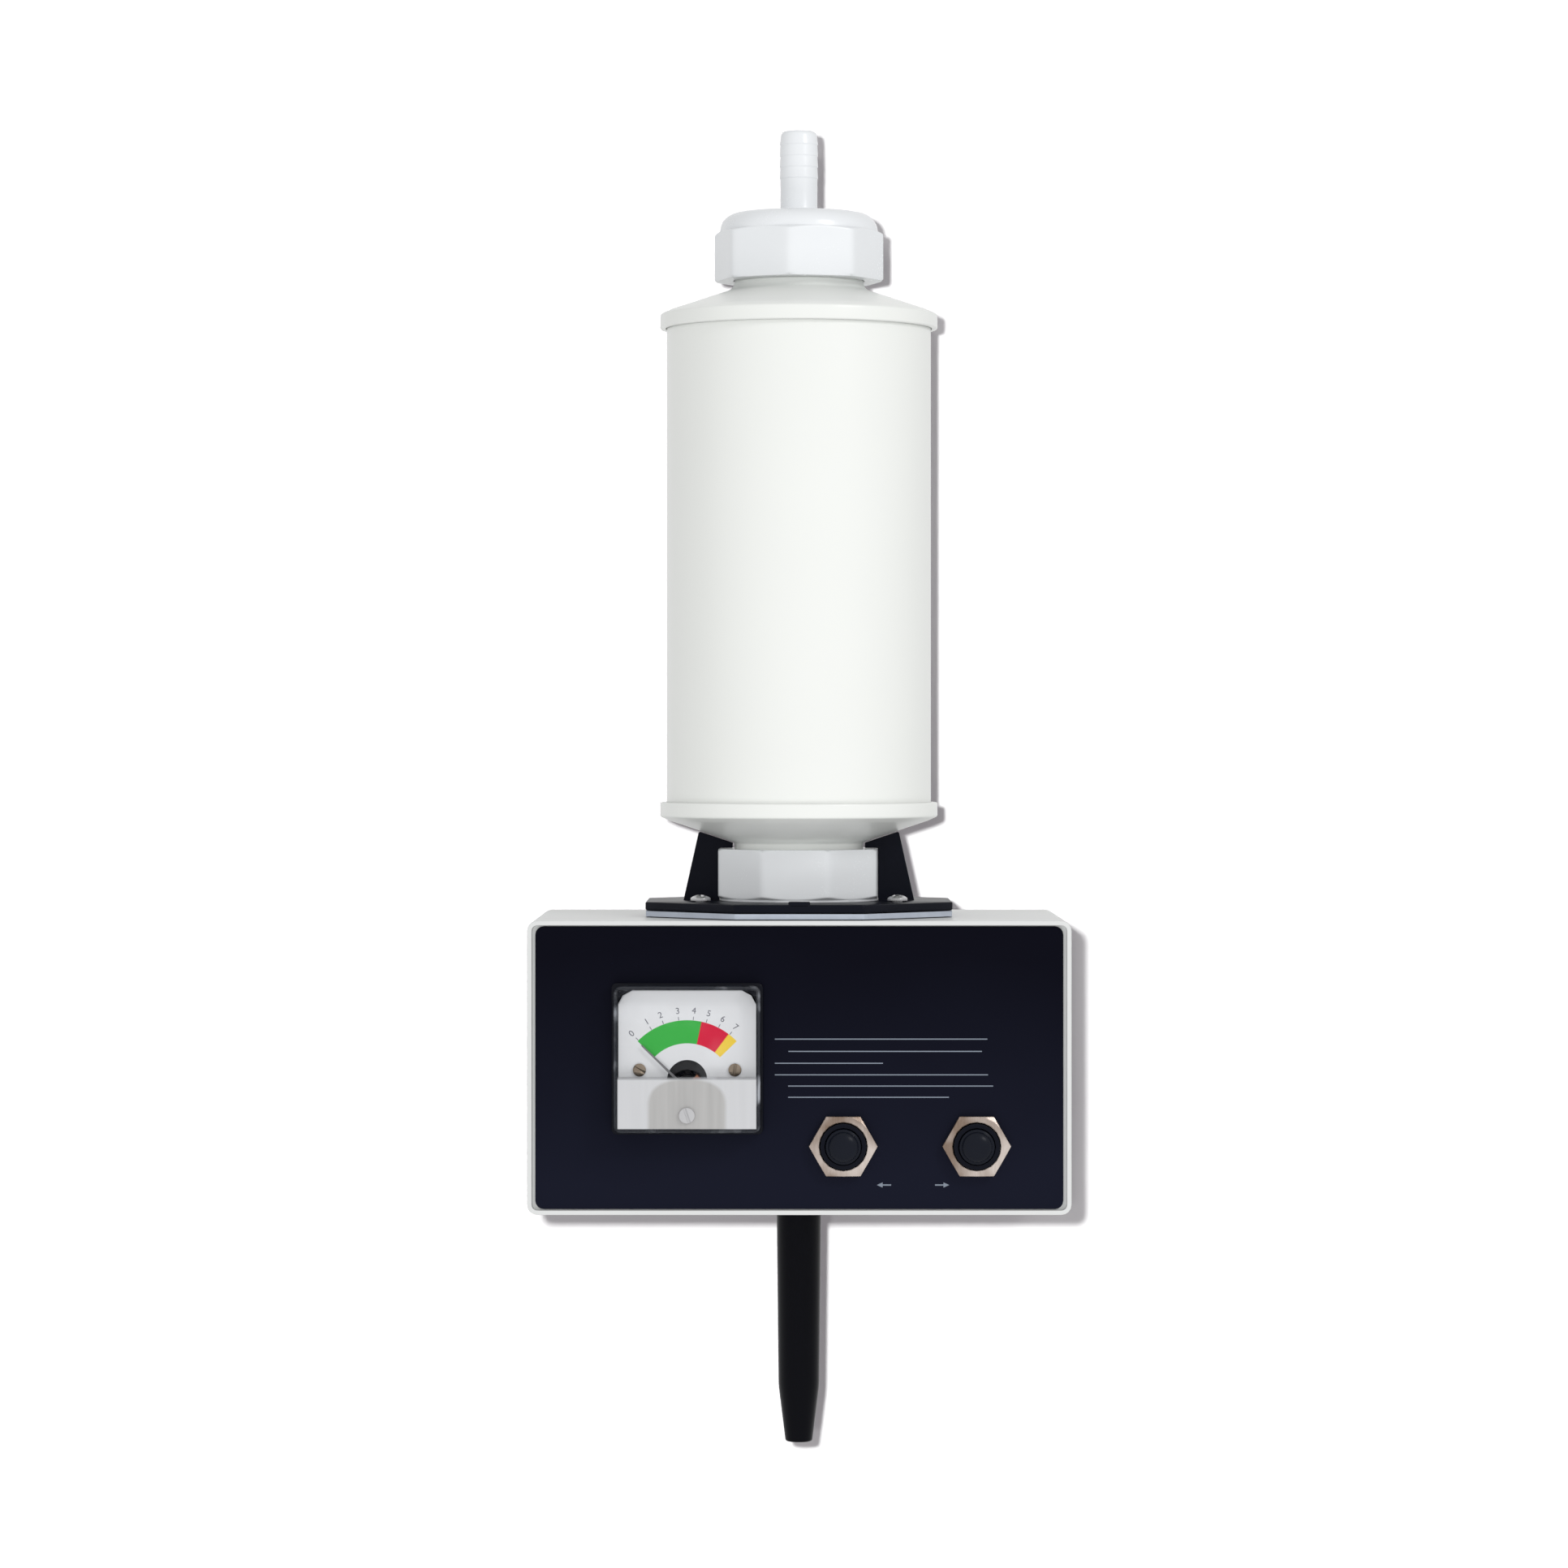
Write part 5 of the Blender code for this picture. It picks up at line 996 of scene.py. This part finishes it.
def buildHolder():
    # the plate's rows run up the octagon's side, in over the top to the hole, down and back out below;
    # a fin is its outline carried through its thickness, with narrowed end rows as bevels
    h = holder
    vertex = h["flats"] / 2 / math.cos(math.pi / 8)
    corners = [(vertex * math.cos(a), vertex * math.sin(a)) for a in (np.arange(8) + 0.5) * tau / 8]
    outline = softened(corners, h["corner"], 3, closed=True)
    share = np.linspace(0, 1, 7)[:-1, None]
    outline = np.concatenate([first * (1 - share) + ahead * share
                              for first, ahead in zip(outline, np.roll(outline, -1, 0))])
    circle = aimedAt(outline, (0, 0), h["hole"])
    soft = 0.0003
    rows = [level(outline, h["low"] + soft), level(outline, h["high"] - soft),
            level(outline * (1 - 0.4 * soft / vertex), h["high"] - 0.3 * soft),
            level(outline * (1 - soft / vertex), h["high"]), level(circle, h["high"]),
            level(circle, h["low"]),
            level(outline * (1 - soft / vertex), h["low"])]
    grids = [(towards(np.stack(rows), (*cartridge["axis"], 0), "up"), True, True)]
    slope = math.tan(math.radians(cartridge["coneAngle"]))
    neck = cartridge["neckRadius"]
    for side in (-1, 1):
        corners = [(h["foot"] + 0.0004, h["high"] - 0.0002),
                   (h["shoulder"], h["coneFoot"] + (h["shoulder"] - neck) * slope),
                   (h["tip"], h["coneFoot"] + (h["tip"] - neck) * slope), (h["tip"], h["hookLow"]),
                   (h["capFlat"], h["hookLow"]), (h["capFlat"], h["high"] - 0.0002)]
        fin = softened(corners, [0, 0.0006, 0.0003, 0.0003, 0.0004, 0], 4) * (side, 1)
        middle = fin.mean(0)
        layers = []
        for thick, shrink in ((-1, 0), (-1, 0.985), (-0.85, 1), (0.85, 1), (1, 0.985), (1, 0)):
            flat = middle + (fin - middle) * shrink
            depth = cartridge["axis"][1] + thick * h["finHalf"]
            layers.append(np.stack([flat[:, 0], np.full(len(flat), depth), flat[:, 1]], -1))
        grids.append((np.stack(layers), False, True))
    bump = roundedSquare(h["indexWide"], h["indexDeep"], 0.0008)
    stack = [level(bump * 0, h["high"] - 0.0004), level(bump, h["high"] - 0.0004),
             level(bump, h["high"] + h["indexHigh"] - 0.0003), level(bump * 0.92, h["high"] + h["indexHigh"]),
             level(bump * 0, h["high"] + h["indexHigh"])]
    bumpDepth = cartridge["axis"][1] - h["flats"] / 2 + h["indexDeep"] / 2
    grids.append((towards(np.stack(stack), (0, bumpDepth, 0), "up"), False, True))
    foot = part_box("holder_gasket")
    foam = [level(outline * 0.997, foot[0][2]), level(outline * 0.997, foot[1][2]),
            level(circle, foot[1][2]), level(circle, foot[0][2])]
    makePiece("holderFoam", [(towards(np.stack(foam), (*cartridge["axis"], 0), "up"), True, True)],
              gasketShadeGrey, "case", ["holder_gasket"])
    makePiece("holderPlate", grids, blackPlastic, "case", ["holder"], 30)


panelMarks = {"z": -0.0345, "xs": (0.0249, 0.0420), "length": 0.0042, "line": 0.0004, "head": 0.0017,
              "rules": ((0.0084, -0.0072, 0.0553), (0.0048, -0.0032, 0.0537), (0.0013, -0.0072, 0.0246),
                        (-0.0021, -0.0072, 0.0555), (-0.0054, -0.0033, 0.0570), (-0.0087, -0.0033, 0.0440)),
              "ruleWide": 0.00032}


def arrow(x, z, side):
    # a shaft and a triangle, pointing left (-1) or right (1)
    m = panelMarks
    half = m["length"] / 2
    tip, neck = x + side * half, x + side * (half - m["head"])
    triangle = np.array([(tip, z), (neck, z + m["head"] * 0.45), (neck, z - m["head"] * 0.45)])
    order = [(0, 1, 2)] if side < 0 else [(0, 2, 1)]
    return [bar((x - side * half + neck) / 2, z, abs(neck - x + side * half), m["line"]), (triangle, order)]


def buildPanelMarks():
    # two arrows between the buttons and a block of plain rules
    m = panelMarks
    shapes = arrow(m["xs"][0], m["z"], -1) + arrow(m["xs"][1], m["z"], 1)
    shapes += [bar((left + right) / 2, z, right - left, m["ruleWide"]) for z, left, right in m["rules"]]
    flatPiece("panelMarks", shapes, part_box("front_panel")[0][1] - 0.00004,
              inkFinish("panelInk", (0.20, 0.23, 0.28, 1)), "case")


buildHolder()
buildPanelMarks()
print("holder and panel marks made")


# finish

print("scene built")
